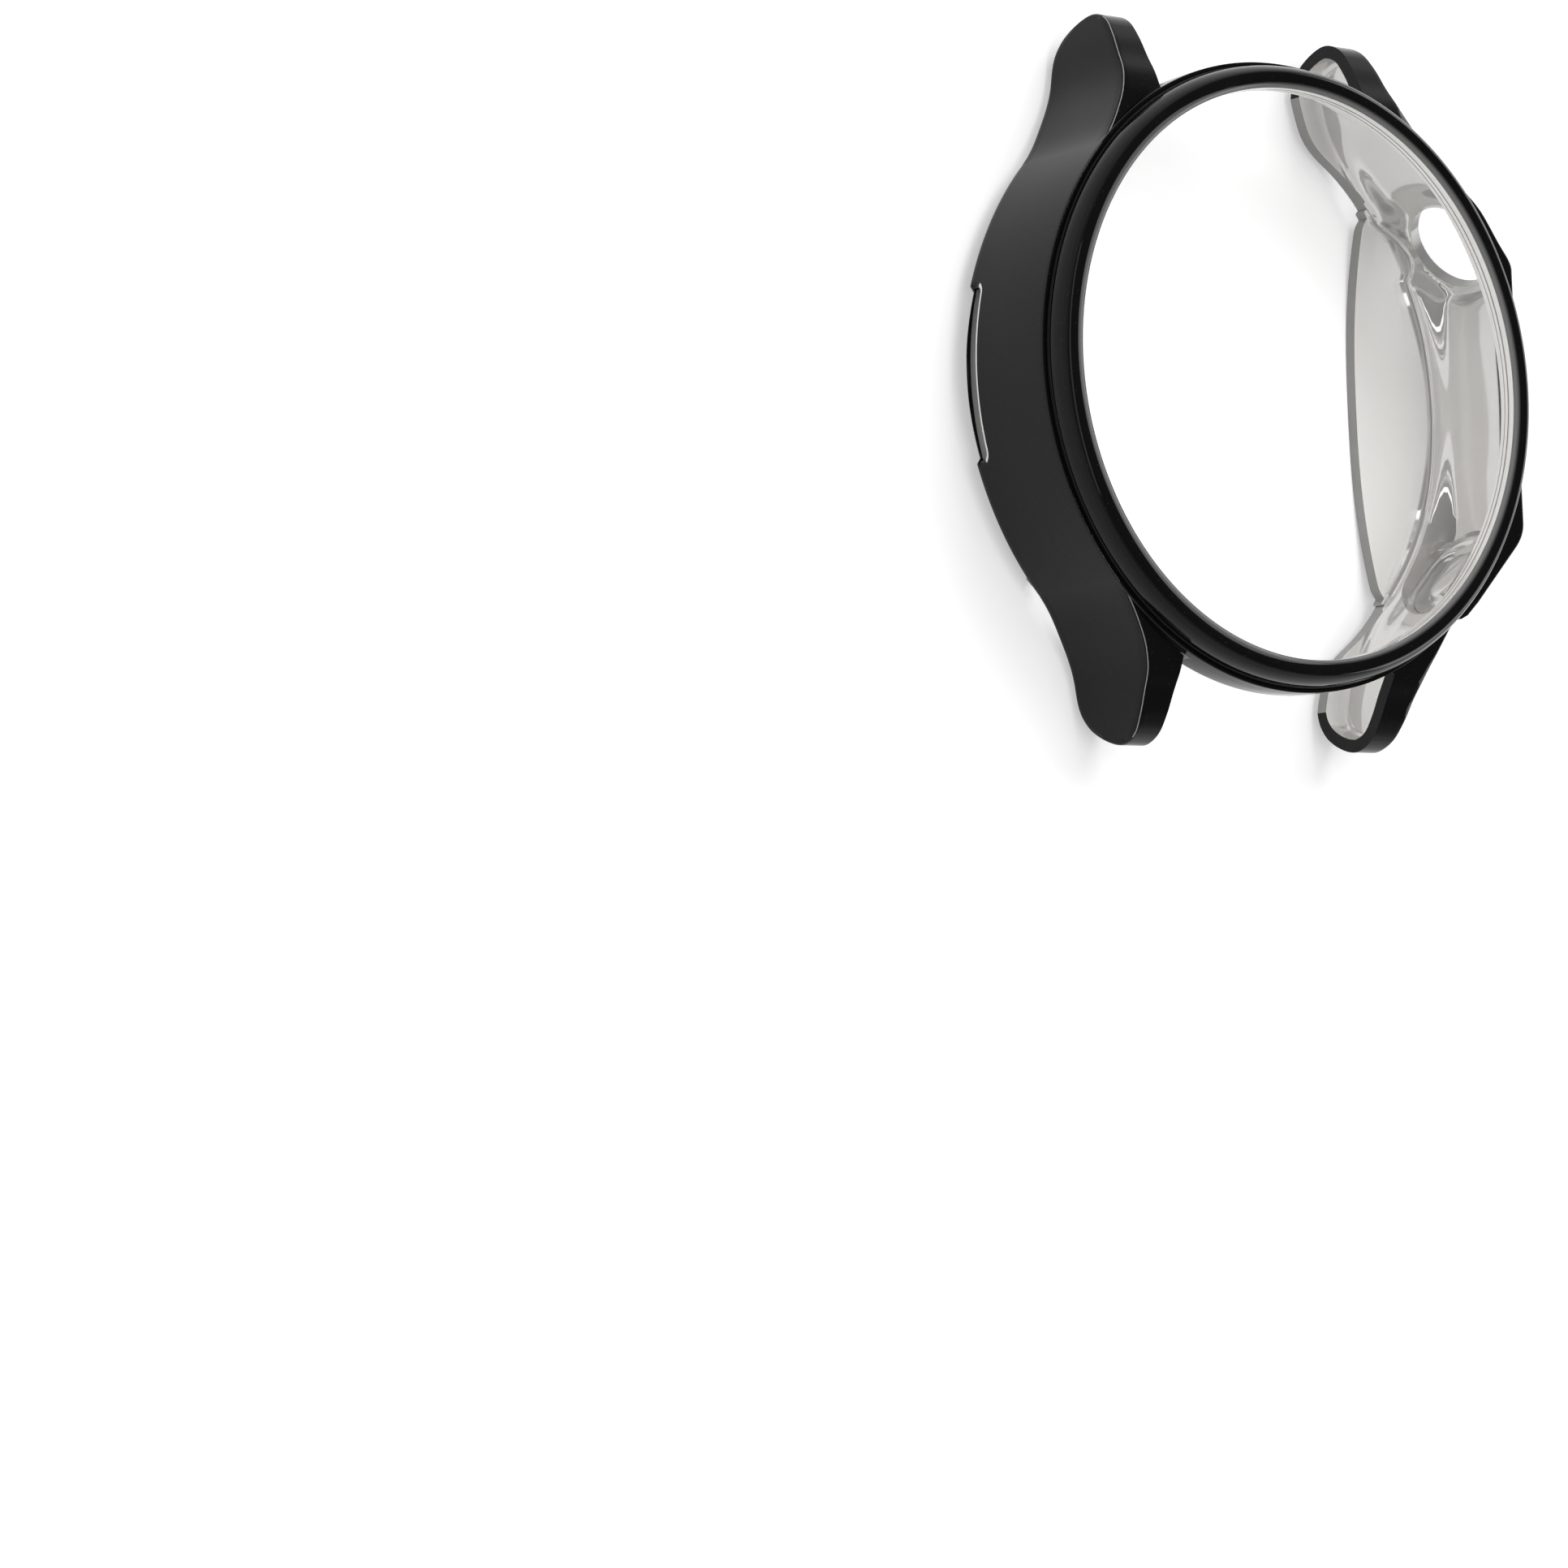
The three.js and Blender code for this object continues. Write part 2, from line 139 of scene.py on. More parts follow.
def softened(points, spread):
    """A dense copy of a chain of points with its corners sanded round."""
    points = np.array(points, float)
    lengths = np.r_[0, np.cumsum(np.linalg.norm(np.diff(points, axis=0), axis=1))]
    step = spread / SAMPLES_PER_SPREAD
    along = np.linspace(0, lengths[-1], int(lengths[-1] / step) + 2)
    dense = np.column_stack([np.interp(along, lengths, points[:, k]) for k in range(2)])
    reach = SAMPLES_PER_SPREAD * SPREADS_REACHED
    weights = np.exp(-0.5 * (np.arange(-reach, reach + 1) / SAMPLES_PER_SPREAD) ** 2)
    weights /= weights.sum()
    before = 2 * dense[0] - dense[reach:0:-1]
    after = 2 * dense[-1] - dense[-2:-reach - 2:-1]
    padded = np.vstack([before, dense, after])
    return np.column_stack([np.convolve(padded[:, k], weights, "valid") for k in range(2)])


print("a third of the way into a fade:", round(float(smoothstep(1 / 3, 0, 1)), 3))

# %% [markdown]
# The driving sizes repeat the measured solids, so that the dressed pieces lie exactly on them.
# Seen from the front, the outer wall is a circle up to the root of each lug cover, and from there
# a curve through four points. The wall's inner side is that line moved in square to itself.

# %% Sizes of the moulding and its line from the front
WALL = 1.0
BODY_RADIUS = 24.3
ROOT_Y = 16.6
ROOT_X = math.sqrt(BODY_RADIUS ** 2 - ROOT_Y ** 2)
LUG_PLAN = ((19.57, 15.65), (22.66, 14.19), (25.75, 13.6), (29.38, 12.77))
PLAN_END = 29.3
PLAN_POINTS = 587
lug_x = spline([(ROOT_Y, ROOT_X), *LUG_PLAN], -ROOT_Y / ROOT_X)


def side_x(y):
    y = np.abs(y)
    square = np.maximum(BODY_RADIUS ** 2 - y ** 2, 1)  # never below 0 beyond the circle
    return np.where(y <= ROOT_Y, np.sqrt(square), lug_x(y))


plan_y = np.linspace(0, PLAN_END, PLAN_POINTS)
plan_x = side_x(plan_y)
plan_slope = np.gradient(plan_x, plan_y)


def side_x_inside(y, depth):
    """The side's line moved inwards by a depth square to the wall."""
    run = np.sqrt(1 + plan_slope ** 2)
    moved_x = plan_x - depth / run
    moved_y = plan_y + depth * plan_slope / run
    return np.interp(np.abs(y), moved_y, moved_x)


print("wall x at the lug tip:", round(float(side_x(28.1)), 2))

# %% [markdown]
# Seen from the side, the moulding has a flat front edge, sloping lug fronts, round finger tips
# and a foot line. One half of that outline is enough, because the two halves mirror. At each
# point the outward direction is kept too: the wall's thickness is measured along it.

# %% Side outline
UPPER_AND_TIP = (
    (16.6, 11.2), (17.4, 11.05), (19.1, 10.77), (20.8, 10.43), (22.9, 9.6), (24.1, 8.83),
    (25.65, 8.06), (27.2, 7.03), (27.8, 6.1), (28.12, 5.07), (27.9, 3.94), (27.4, 2.8),
    (26.7, 1.74), (25.5, 0.93), (24.2, 0.72), (22.5, 0.86), (19.7, 1.1), (16.6, 1.5))
FOOT = ((0, 1.3), (2.05, 1.3), (5.1, 1.4), (8.2, 1.5), (16.6, 1.5))
OUTLINE_SPREAD = 0.45
outline = softened(UPPER_AND_TIP, OUTLINE_SPREAD)
tip_row = int(np.argmax(outline[:, 0]))
upper_rows = range(0, tip_row + 1)
lower_rows = range(tip_row, len(outline))
tangent = np.gradient(outline, axis=0)
tangent /= np.linalg.norm(tangent, axis=1)[:, None]
outward = np.column_stack([-tangent[:, 1], tangent[:, 0]])
foot_z = spline(FOOT)


def on_outline(rows, y):
    """Point and outward direction of the upper or lower part of the outline at a given y."""
    rows = np.array(rows)[np.argsort(outline[rows, 0])]
    found = [np.interp(y, outline[rows, 0], a[rows, k]) for a in (outline, outward) for k in (0, 1)]
    return np.array(found[:2]), np.array(found[2:]) / np.hypot(*found[2:])


print("the outline's tip:", np.round(outline[tip_row], 2))

# %% [markdown]
# A station is one place along the side, at which a section will stand. Up to the finger tip a
# station is a distance from the middle. Round the tip that would crowd and skew the sections, so
# there the upper and lower points run towards the tip in equal shares and meet at it.

# %% One station
DECK_TOP = 11.2
TIP_FROM = 25.6
TIP_STEPS = 16


def nearest_row(rows, y):
    place = on_outline(rows, y)[0]
    return rows[0] + int(np.argmin(np.hypot(*(outline[list(rows)] - place).T)))


def row_at(at):
    """Point and outward direction at a place between two rows of the outline."""
    every = np.arange(len(outline))
    return [np.array([np.interp(at, every, a[:, k]) for k in (0, 1)]) for a in (outline, outward)]


tip_starts = [nearest_row(rows, TIP_FROM) for rows in (upper_rows, lower_rows)]


def station(side, height, tip_share=None):
    """Upper point and direction, lower point and direction at one station."""
    if tip_share is not None:
        ends = [e for start in tip_starts for e in row_at(start + (tip_row - start) * tip_share)]
    elif height <= ROOT_Y:
        ends = [np.array((height, DECK_TOP)), np.array((0.0, 1.0)),
                np.array((height, float(foot_z(height)))), np.array((0.0, -1.0))]
    else:
        ends = [*on_outline(upper_rows, height), *on_outline(lower_rows, height)]
    return [e * np.array((side, 1)) for e in ends]


print("rows where the tip starts:", tip_starts)

# %% [markdown]
# The stations stand closer together where the wall changes faster: at the ends of the slot, at
# the corners of the guard and at the roots of the lug covers. An even spacing fine enough for
# those places would waste points on the plain round wall.

# %% Stations along the side
def spaced(start, stop, step):
    return [round(v, 3) for v in np.arange(start, stop, step)]


half_stations = sorted(set(
    spaced(0, 9, 0.45) + spaced(9, 14.3, 0.3) + spaced(14.4, 16.2, 0.15)
    + [16.2, 16.3, 16.45, 16.5, 16.65, 17.0, 17.3, 17.65, 17.95, 18.05, 18.25]
    + spaced(18.5, 25.7, 0.4) + [TIP_FROM]))


def side_stations(side, heights):
    shares = [k / TIP_STEPS for k in range(1, TIP_STEPS + 1)]
    return [station(side, y) for y in heights] + [station(side, TIP_FROM, s) for s in shares]


stations = side_stations(-1, half_stations[1:])[::-1] + side_stations(1, half_stations)
print("stations along the side:", len(stations))

# %% [markdown]
# The right side bulges into a crown guard: a flat facet and two slanted ones, which lean back
# to the round wall below. Round the crown hole the wall is levelled into a small tilted seat. The
# left side has a speaker slot, whose lower lip lies sunk. The wall's place is the round side plus
# a share of those forms, so one grid of points makes round wall, flare, facets and lip together.

# %% Sizes of the guard, the crown hole and the speaker slot
GUARD_FLAT = 24.3
GUARD_HALF = 11.09
GUARD_ANGLE = math.radians(44)
GUARD_END = 18.05
GUARD_END_FADE = 0.15
GUARD_CORNER = 1.0
GUARD_CORNER_INSIDE = 1.4
GUARD_BLEND_INSIDE = 0.8
FLARE_LOW = 2.6
FLARE_HIGH = 4.2
CROWN_ANGLE = math.radians(35)
CROWN_RADIUS = 3.6
CROWN_ALONG = 2.75
CROWN_Z = 6.85
CROWN_X = GUARD_FLAT - CROWN_ALONG * math.sin(GUARD_ANGLE)
CROWN_Y = GUARD_HALF + CROWN_ALONG * math.cos(GUARD_ANGLE)
CROWN_LEVEL_RIM = (0.25, 2.1)
CROWN_FILLED_RIM = (0.1, 1.5)
SLOT_HALF = 6.45
SLOT_LOW = 1.95
SLOT_HIGH = 2.84
SLOT_SUNK = 0.45
SUNK_PAST_END = 0.1
SUNK_PAST_EDGE = 0.05
SUNK_END_FADE = 0.25
SUNK_EDGE_FADE = 0.12
print("crown hole's middle:", round(CROWN_X, 2), round(CROWN_Y, 2), CROWN_Z)

# %% [markdown]
# Here is the wall itself, as a function: x for any y and z, on the outer face (depth 0) or on the
# inner one (depth 1). Written as a function and not as a drawn surface, the same wall can be asked
# for its place by the sections, the fillets and the cutters.

# %% Wall place at any height
def eased(value, width):
    """The part of a value above zero, with a rounded start of a given half width."""
    middle = (value + width) ** 2 / (4 * width)
    return np.where(value > width, value, np.where(value < -width, 0, middle))


def left_wall_x(base, y, z):
    along = smoothstep(SLOT_HALF + SUNK_PAST_END - np.abs(y), 0, SUNK_END_FADE)
    below = smoothstep(SLOT_LOW + SUNK_PAST_EDGE - z, 0, SUNK_EDGE_FADE)
    return base - SLOT_SUNK * (along * below)


def near_crown(apart, rim):
    """1 at the crown hole and 0 far from it, fading over a rim given as (start, end)."""
    return 1 - smoothstep(apart, CROWN_RADIUS + rim[0], CROWN_RADIUS + rim[1])


def right_wall_x(base, y, z, depth):
    corner = GUARD_CORNER_INSIDE if depth else GUARD_CORNER
    beyond = eased(np.abs(y) - GUARD_HALF + depth * math.tan(GUARD_ANGLE / 2), corner)
    guard = GUARD_FLAT - depth - beyond * math.tan(GUARD_ANGLE)
    middle_y = CROWN_Y - depth * math.sin(CROWN_ANGLE)
    apart = np.hypot((y - middle_y) / math.cos(CROWN_ANGLE), z - CROWN_Z)
    level = CROWN_X - depth / math.cos(CROWN_ANGLE) - (y - CROWN_Y) * math.tan(CROWN_ANGLE)
    guard = guard + (level - guard) * near_crown(apart, CROWN_LEVEL_RIM)
    bulge = smoothstep(z, FLARE_LOW + depth / 2, FLARE_HIGH + depth / 2)
    bulge = bulge + (1 - bulge) * near_crown(apart, CROWN_FILLED_RIM)
    if depth:
        return base + bulge * eased(guard - base, GUARD_BLEND_INSIDE)
    bulge = bulge * np.clip((GUARD_END - np.abs(y)) / GUARD_END_FADE, 0, 1)
    return base + (guard - base) * bulge


def wall_x(hand, y, z, depth):
    y = np.asarray(y, float)
    base = side_x_inside(y, depth) if depth else side_x(y)
    if hand > 0:
        return right_wall_x(base, y, z, depth)
    return base if depth else left_wall_x(base, y, z)


print("guard stands out at its corner by", round(float(wall_x(1, 11.4, 8, 0) - side_x(11.4)), 2))

# %% [markdown]
# The back lip is a half moon that runs in from the foot of the wall and rests on the table with
# a narrow land. It thins out towards its two ends, which rise a little. Two short formulas, one for
# its edge and one for its height, give a smoother dish than points moved by hand.

# %% Back lip shape
LIP_EDGE = 16.25
LIP_BOW = 0.9
LIP_END = 16.3
LIP_CORNER = 1.7
LIP_CORNER_END = 15.95
LIP_RISE = 1.25
LIP_RISE_POWER = 2.4
LIP_DISH = 1.7
LAND_HALF = 2.0
LAND_WIDTH = 1.1
LEAST_DISH = 0.05


def lip_edge_x(y):
    turn = np.clip((np.abs(y) - LIP_CORNER_END) / LIP_CORNER + 1, 0, 1)
    return LIP_EDGE + LIP_BOW * (y / LIP_END) ** 2 + LIP_CORNER * (1 - np.sqrt(1 - turn ** 2))


def lip_z(x, y, start_x, foot):
    edge_x = lip_edge_x(y)
    past_land = max(abs(y) - LAND_HALF, 0) / (LIP_END - LAND_HALF)
    edge_z = LIP_RISE * past_land ** LIP_RISE_POWER
    across = np.clip((start_x - x) / (start_x - edge_x), 0, 1)
    land = LAND_WIDTH / (start_x - edge_x)
    fall = np.maximum(0, 1 - across / max(1 - land, LEAST_DISH))
    return edge_z + (foot - edge_z) * fall ** LIP_DISH


print("lip edge at the middle and at its end:", LIP_EDGE, round(float(lip_edge_x(LIP_END)), 2))

# %% [markdown]
# One station's section is a C: front strip, fillet, wall, fillet, back strip, and the same again
# one wall thickness further in. Joining the sections gives a closed shell with even walls,
# which a solidify modifier would not keep where the strips meet the open side.

# %% Strips and fillets of a section
STRIP_STEPS = 9
FILLET_STEPS = 5
WALL_STEPS = 30
EDGE_FILLET = 0.25
EDGE_FILLET_LEFT = 0.1
INNER_FILLET = 0.45
FOOT_FILLET = 0.45
FOOT_FILLET_LOSS = 0.2
LUG_RUN = 8
BELOW_FRONT = 0.3
ABOVE_FOOT = 0.2
LEAST_LIP = 0.2
LEAST_FLAT = 0.08
LEAST_FILLET = 0.05


def even_run(start, end, steps):
    return [start + (end - start) * (k / (steps - 1)) for k in range(steps)]


def quarter_round(face_x, edge, out, radius, steps):
    """Points of a fillet, where step 0 lies on the strip and the last step on the wall."""
    points = []
    for k in steps:
        angle = k / FILLET_STEPS * math.pi / 2
        at = edge - out * (radius * (1 - math.cos(angle)))
        points.append((face_x - radius + radius * math.sin(angle), at[0], at[1]))
    return points


def fillet_radii(hand, height, depth):
    if depth:
        return INNER_FILLET, INNER_FILLET
    lug_share = float(np.clip((height - ROOT_Y) / LUG_RUN, 0, 1))
    front = EDGE_FILLET_LEFT if height < ROOT_Y and hand < 0 else EDGE_FILLET
    return front, FOOT_FILLET - FOOT_FILLET_LOSS * lug_share


print("fillets at the lug tip:", fillet_radii(1, 28, 0))

# %% [markdown]
# The section now takes its parts in order. The outer layer starts at the station's two outline
# points, and the inner one a wall thickness deeper. Under the bezel the inner layer is cut down to
# the rebate that takes the ring, and along the body the back strip follows the lip's formulas.

# %% Whole sections for both sides
REBATE_RADIUS = 24.19
REBATE_TOP = 10.3
REBATE_END = 21.7
INNER_PLANE = 10.85
TOLERANCE = 0.01


def section(hand, upper, upper_out, lower, lower_out, depth):
    height = abs(upper[0])
    on_body = height <= LIP_END + TOLERANCE
    top_radius, low_radius = fillet_radii(hand, height, depth)
    up = upper - upper_out * depth
    low = lower - lower_out * depth
    if depth and height < REBATE_END:
        up = np.array((up[0], min(up[1], REBATE_TOP)))
    strip_x = max(INNER_PLANE, math.sqrt(max(REBATE_RADIUS ** 2 - up[0] ** 2, 0)))
    face_x = float(wall_x(hand, up[0], up[1] - BELOW_FRONT, depth))
    low_x = float(wall_x(hand, low[0], low[1] + ABOVE_FOOT, depth))
    edge_x = INNER_PLANE
    if on_body:
        inner_x = float(wall_x(hand, low[0], low[1] + ABOVE_FOOT, WALL))
        edge_x = min(lip_edge_x(low[0]), inner_x - LEAST_LIP)
        low_radius = min(low_radius, max(low_x - edge_x - LEAST_FLAT, LEAST_FILLET))
    points = [(x, up[0], up[1]) for x in even_run(strip_x, face_x - top_radius, STRIP_STEPS)]
    points += quarter_round(face_x, up, upper_out, top_radius, range(1, FILLET_STEPS + 1))
    high = up - upper_out * top_radius
    deep = low - lower_out * low_radius
    for k in range(1, WALL_STEPS):
        at = high + (deep - high) * (k / WALL_STEPS)
        points.append((float(wall_x(hand, at[0], at[1], depth)), at[0], at[1]))
    points += quarter_round(low_x, low, lower_out, low_radius, range(FILLET_STEPS, -1, -1))
    dish_from = float(wall_x(hand, lower[0], lower[1] + ABOVE_FOOT, 0)) - FOOT_FILLET
    for x in even_run(low_x - low_radius, edge_x, STRIP_STEPS)[1:]:
        z = float(lip_z(x, low[0], dish_from, lower[1])) + depth if on_body else low[1]
        points.append((x, low[0], z))
    return points


def both_layers(hand):
    return [np.array([section(hand, *ends, depth) for ends in stations]) for depth in (0, WALL)]


right_layers = both_layers(1)
left_layers = both_layers(-1)
print("stations, section points, axes:", right_layers[0].shape)

# %% [markdown]
# Three finishes cover the whole case: the black plated skin, the clear core seen from inside,
# and the bare edge where the two end. Each face of a mesh can name one of several slots, so the
# slots are made before the meshes. Their nodes are built further down.

# %% Material slots
plated = bpy.data.materials.new("plated_black_skin")
clear_core = bpy.data.materials.new("clear_core_over_plating")
cut_edge = bpy.data.materials.new("bare_cut_edge")
FINISHES = (plated, clear_core, cut_edge)
# The bare-edge and core finishes also serve as painted highlight lines on the sides' front edge and
# the slot's upper edge.
SKIN, CORE, EDGE = 0, 1, 2


def mesh_object(name, points, faces, finish_of_face):
    mesh = bpy.data.meshes.new(name)
    mesh.from_pydata([tuple(p) for p in points], [], faces)
    for material in FINISHES:
        mesh.materials.append(material)
    mesh.polygons.foreach_set("material_index", np.array(finish_of_face, np.int32))
    mesh.update()
    piece = bpy.data.objects.new(name, mesh)
    bpy.context.collection.objects.link(piece)
    return piece


print("material slots:", [m.name for m in FINISHES])

# %% [markdown]
# The two layers become one closed shell. Along the front edge of the sides one row of the fillet's
# faces gets the grey bare-edge finish: a painted highlight, the fine light line that this edge
# would catch. Points that lie within two thousandths of a millimetre are merged at the end, because
# a boolean only works on a mesh without open edges.

# %% Closed shell from two layers of sections
# Row of the front fillet that is painted as a highlight line.
PAINTED_HIGHLIGHT_ROW = STRIP_STEPS
MERGE_WITHIN = 0.002 * MM
SLIVER = 0.001 * MM


def shell(name, hand, outer, inner):
    rows, columns = outer.shape[:2]
    points = np.vstack([outer.reshape(-1, 3), inner.reshape(-1, 3)]) * MM
    points[:, 0] *= hand
    faces = []
    finish = []
    base = rows * columns

    def add(a, b, c, d, kind):
        faces.append((a, b, c, d) if hand > 0 else (d, c, b, a))
        finish.append(kind)

    for i in range(rows - 1):
        middle = abs(outer[i, 0, 1] + outer[i + 1, 0, 1]) / 2
        first = i * columns
        last = first + columns - 1
        for j in range(columns - 1):
            a = first + j
            # One fillet row takes the bare-edge grey as a painted highlight line.
            add(a, a + 1, a + columns + 1, a + columns, EDGE if j == PAINTED_HIGHLIGHT_ROW else SKIN)
            b = a + base
            add(b, b + columns, b + columns + 1, b + 1, CORE)
        add(first, first + columns, first + columns + base, first + base, SKIN)
        back_edge = SKIN if middle > LIP_END else EDGE
        add(last, last + base, last + columns + base, last + columns, back_edge)
    piece = mesh_object(name, points, faces, finish)
    work = bmesh.new()
    work.from_mesh(piece.data)
    bmesh.ops.remove_doubles(work, verts=work.verts, dist=MERGE_WITHIN)
    bmesh.ops.dissolve_degenerate(work, edges=work.edges, dist=SLIVER)
    bmesh.ops.recalc_face_normals(work, faces=work.faces)
    open_edges = sum(1 for e in work.edges if not e.is_manifold)
    work.to_mesh(piece.data)
    work.free()
    print(name, "faces", len(piece.data.polygons), "open edges", open_edges)
    return piece


right_shell = shell("right_shell", 1, *right_layers)
left_shell = shell("left_shell", -1, *left_layers)

# %% [markdown]
# The button and the cutters for the openings are lofted: loops with the same number of points,
# joined in order and closed by a lid at each end. One helper makes them all, and turns the faces
# outwards, because a boolean takes the inside and the outside of a cutter from them.

# %% Lofting
def facing_out(piece):
    work = bmesh.new()
    work.from_mesh(piece.data)
    bmesh.ops.recalc_face_normals(work, faces=work.faces)
    work.to_mesh(piece.data)
    work.free()
    return piece


def lofted(name, loops, lid_finishes, finish_of):
    """A closed form through loops in mm; finish_of(row, i, n) is the finish of a side face."""
    count = len(loops[0])
    end = count * (len(loops) - 1)
    faces = [tuple(range(count))[::-1], tuple(range(end, end + count))]
    kinds = list(lid_finishes)
    for row in range(len(loops) - 1):
        a = row * count
        b = a + count
        for i in range(count):
            n = (i + 1) % count
            faces.append((a + i, a + n, b + n, b + i))
            kinds.append(finish_of(row, i, n))
    points = [p * MM for loop in loops for p in loop]
    return facing_out(mesh_object(name, points, faces, kinds))


def prism(name, outline_points, place, low, high):
    """A block over an outline, set up by a frame matrix, between two depths along its own Z."""
    loops = [[place @ Vector((x, y, d)) for x, y in outline_points] for d in (low, high)]
    return lofted(name, loops, (EDGE, EDGE), lambda row, i, n: EDGE)


print("helpers for lofting:", facing_out.__name__, lofted.__name__, prism.__name__)

# %% [markdown]
# Openings are cut with booleans, as a cutter in the tool would leave them. A cutter's finish
# passes on to the faces that it leaves behind, so a cut can show the core's bare edge. The exact
# solver is used, because the fast one fails where faces nearly touch, as on thin walls.

# %% Carving
def carve(piece, cutters):
    for cutter in cutters:
        step = piece.modifiers.new("carve", "BOOLEAN")
        step.operation = "DIFFERENCE"
        step.solver = "EXACT"
        step.object = cutter
    bpy.context.view_layer.update()
    solid = piece.evaluated_get(bpy.context.evaluated_depsgraph_get())
    mesh = bpy.data.meshes.new_from_object(solid)
    piece.modifiers.clear()
    piece.data = mesh
    for cutter in cutters:
        bpy.data.objects.remove(cutter)
    print(piece.name, "after carving:", len(mesh.polygons), "faces")


print("faces before carving:", len(right_shell.data.polygons), len(left_shell.data.polygons))

# %% [markdown]
# The foot of each lug cover ends in an S-curve that leaves the middle free. It is cut through the
# back strip alone, so the prism stops a little above it. One curve serves all four lug covers,
# mirrored by the signs of hand and row.

# %% S-curve at the feet of the lug covers
S_CURVE = (
    (15.9, 16.95), (16.6, 16.4), (17.5, 15.65), (18.9, 14.2), (20.2, 12.6), (21.5, 11.65),
    (23.2, 11.15), (24.6, 10.84))
S_POINTS = 40
FOOT_CUT = (-1, 2.85)
s_curve_x = spline(S_CURVE)


def foot_cutter(hand, row):
    start, end = S_CURVE[0][0], S_CURVE[-1][0]
    edge = [(hand * float(s_curve_x(y)), row * y) for y in np.linspace(start, end, S_POINTS)]
    loop = [(0.0, row * start)] + edge + [(0.0, row * end)]
    return prism("foot_cutter", loop, Matrix.Identity(4), *FOOT_CUT)


print("the S-curve runs from x", S_CURVE[0][1], "to", S_CURVE[-1][1])

# %% [markdown]
# The crown hole, the button's window and its pad lie on slanted facets. A frame matrix holds
# right, up and out of such a place as its columns, so a form can be drawn flat and set up by one
# product. The button's outline is a capsule: two half circles joined by straight runs.

# %% Places on the facets, and capsules
CAPSULE_STEPS = 24


def facet_frame(side, along, height, angle=GUARD_ANGLE):
    """Right, up and out of a place on a slanted facet, at a distance from the guard's corner."""
    out = Vector((math.cos(angle), side * math.sin(angle), 0))
    up = Vector((0, 0, 1))
    place = Matrix((up.cross(out), up, out)).transposed().to_4x4()
    place.translation = Vector((GUARD_FLAT - along * math.sin(GUARD_ANGLE),
                                side * (GUARD_HALF + along * math.cos(GUARD_ANGLE)), height))
    return place


def capsule(length, height):
    radius = height / 2
    half_run = length / 2 - radius
    turn = [math.pi * (k / CAPSULE_STEPS - 0.5) for k in range(CAPSULE_STEPS + 1)]
    right = [(half_run + radius * math.cos(a), radius * math.sin(a)) for a in turn]
    left = [(-half_run - radius * math.cos(a), -radius * math.sin(a)) for a in turn]
    return right + left


def capsule_form(name, place, length, height, levels, lid_finishes, finish_of_row):
    """A form of capsules, one for each (grow, depth) level, on a slanted place."""
    loops = []
    for grow, depth in levels:
        flat_loop = capsule(length + 2 * grow, height + 2 * grow)
        loops.append([place @ Vector((x, y, depth)) for x, y in flat_loop])
    return lofted(name, loops, lid_finishes, lambda row, i, n: finish_of_row[row])


print("points of a capsule:", len(capsule(2, 1)))

# %% [markdown]
# The crown hole is a plain bore. The window is cut by a capsule that grows towards the inside,
# which rounds its inner rim over: soft plastic tears at a sharp rim, so moulds give it a radius.
# Both cutters and the two foot cutters then go through the right side in one step.

# %% Crown hole and button window
PAD_ALONG = 4.742
PAD_Z = 6.6
RING_POINTS = 96
CROWN_CUT = (-4, 3)
WINDOW = (8.0, 5.6)
WINDOW_CUT = (-2.6, 2.4)
WINDOW_FILLET = 0.6
WINDOW_STEPS = 8
turns = [k / WINDOW_STEPS * math.pi / 2 for k in range(WINDOW_STEPS + 1)]
window_levels = [(WINDOW_FILLET, WINDOW_CUT[0])]
window_levels += [(WINDOW_FILLET * (1 - math.sin(t)), WINDOW_FILLET * (1 - math.cos(t)) - WALL)
                  for t in turns]
window_levels += [(0, WINDOW_CUT[1])]
crown_place = facet_frame(1, CROWN_ALONG, CROWN_Z, CROWN_ANGLE)
pad_place = facet_frame(-1, PAD_ALONG, PAD_Z)
ring = [2 * math.pi * k / RING_POINTS for k in range(RING_POINTS)]
crown_loop = [(CROWN_RADIUS * math.cos(a), CROWN_RADIUS * math.sin(a)) for a in ring]
crown_cutter = prism("crown_cutter", crown_loop, crown_place, *CROWN_CUT)
window_cutter = capsule_form("window_cutter", pad_place, *WINDOW, window_levels,
                             (CORE, CORE), [CORE] * (len(window_levels) - 1))
carve(right_shell, [crown_cutter, window_cutter] + [foot_cutter(1, r) for r in (-1, 1)])

# %% [markdown]
# The speaker slot's outline has round upper corners and a straight lower edge. Every point of it
# also knows the way in which it widens: the lower edge never does, because its lip lies sunk.

# %% Outline of the speaker slot
SLOT_ROUND = 0.5
SLOT_TURNS = 8
SLOT_SPANS = 16


def slot_outline():
    """Points (y, z, widening in y, widening in z) once round the slot."""
    flat = SLOT_HALF - SLOT_ROUND
    loop = [(SLOT_HALF, SLOT_LOW, 1.0, 0.0)]
    for a in [math.pi / 2 * k / SLOT_TURNS for k in range(SLOT_TURNS + 1)]:
        loop.append((flat + SLOT_ROUND * math.cos(a),
                     SLOT_HIGH - SLOT_ROUND + SLOT_ROUND * math.sin(a), math.cos(a), math.sin(a)))
    end = len(loop)
    span = [-k / SLOT_SPANS * flat * 2 + SLOT_HALF - SLOT_ROUND for k in range(1, SLOT_SPANS)]
    loop += [(y, SLOT_HIGH, 0.0, 1.0) for y in span]
    loop += [(-y, z, -out_y, out_z) for y, z, out_y, out_z in reversed(loop[:end])]
    return loop + [(-y, SLOT_LOW, 0.0, 0.0) for y in span]


print("points round the slot:", len(slot_outline()))
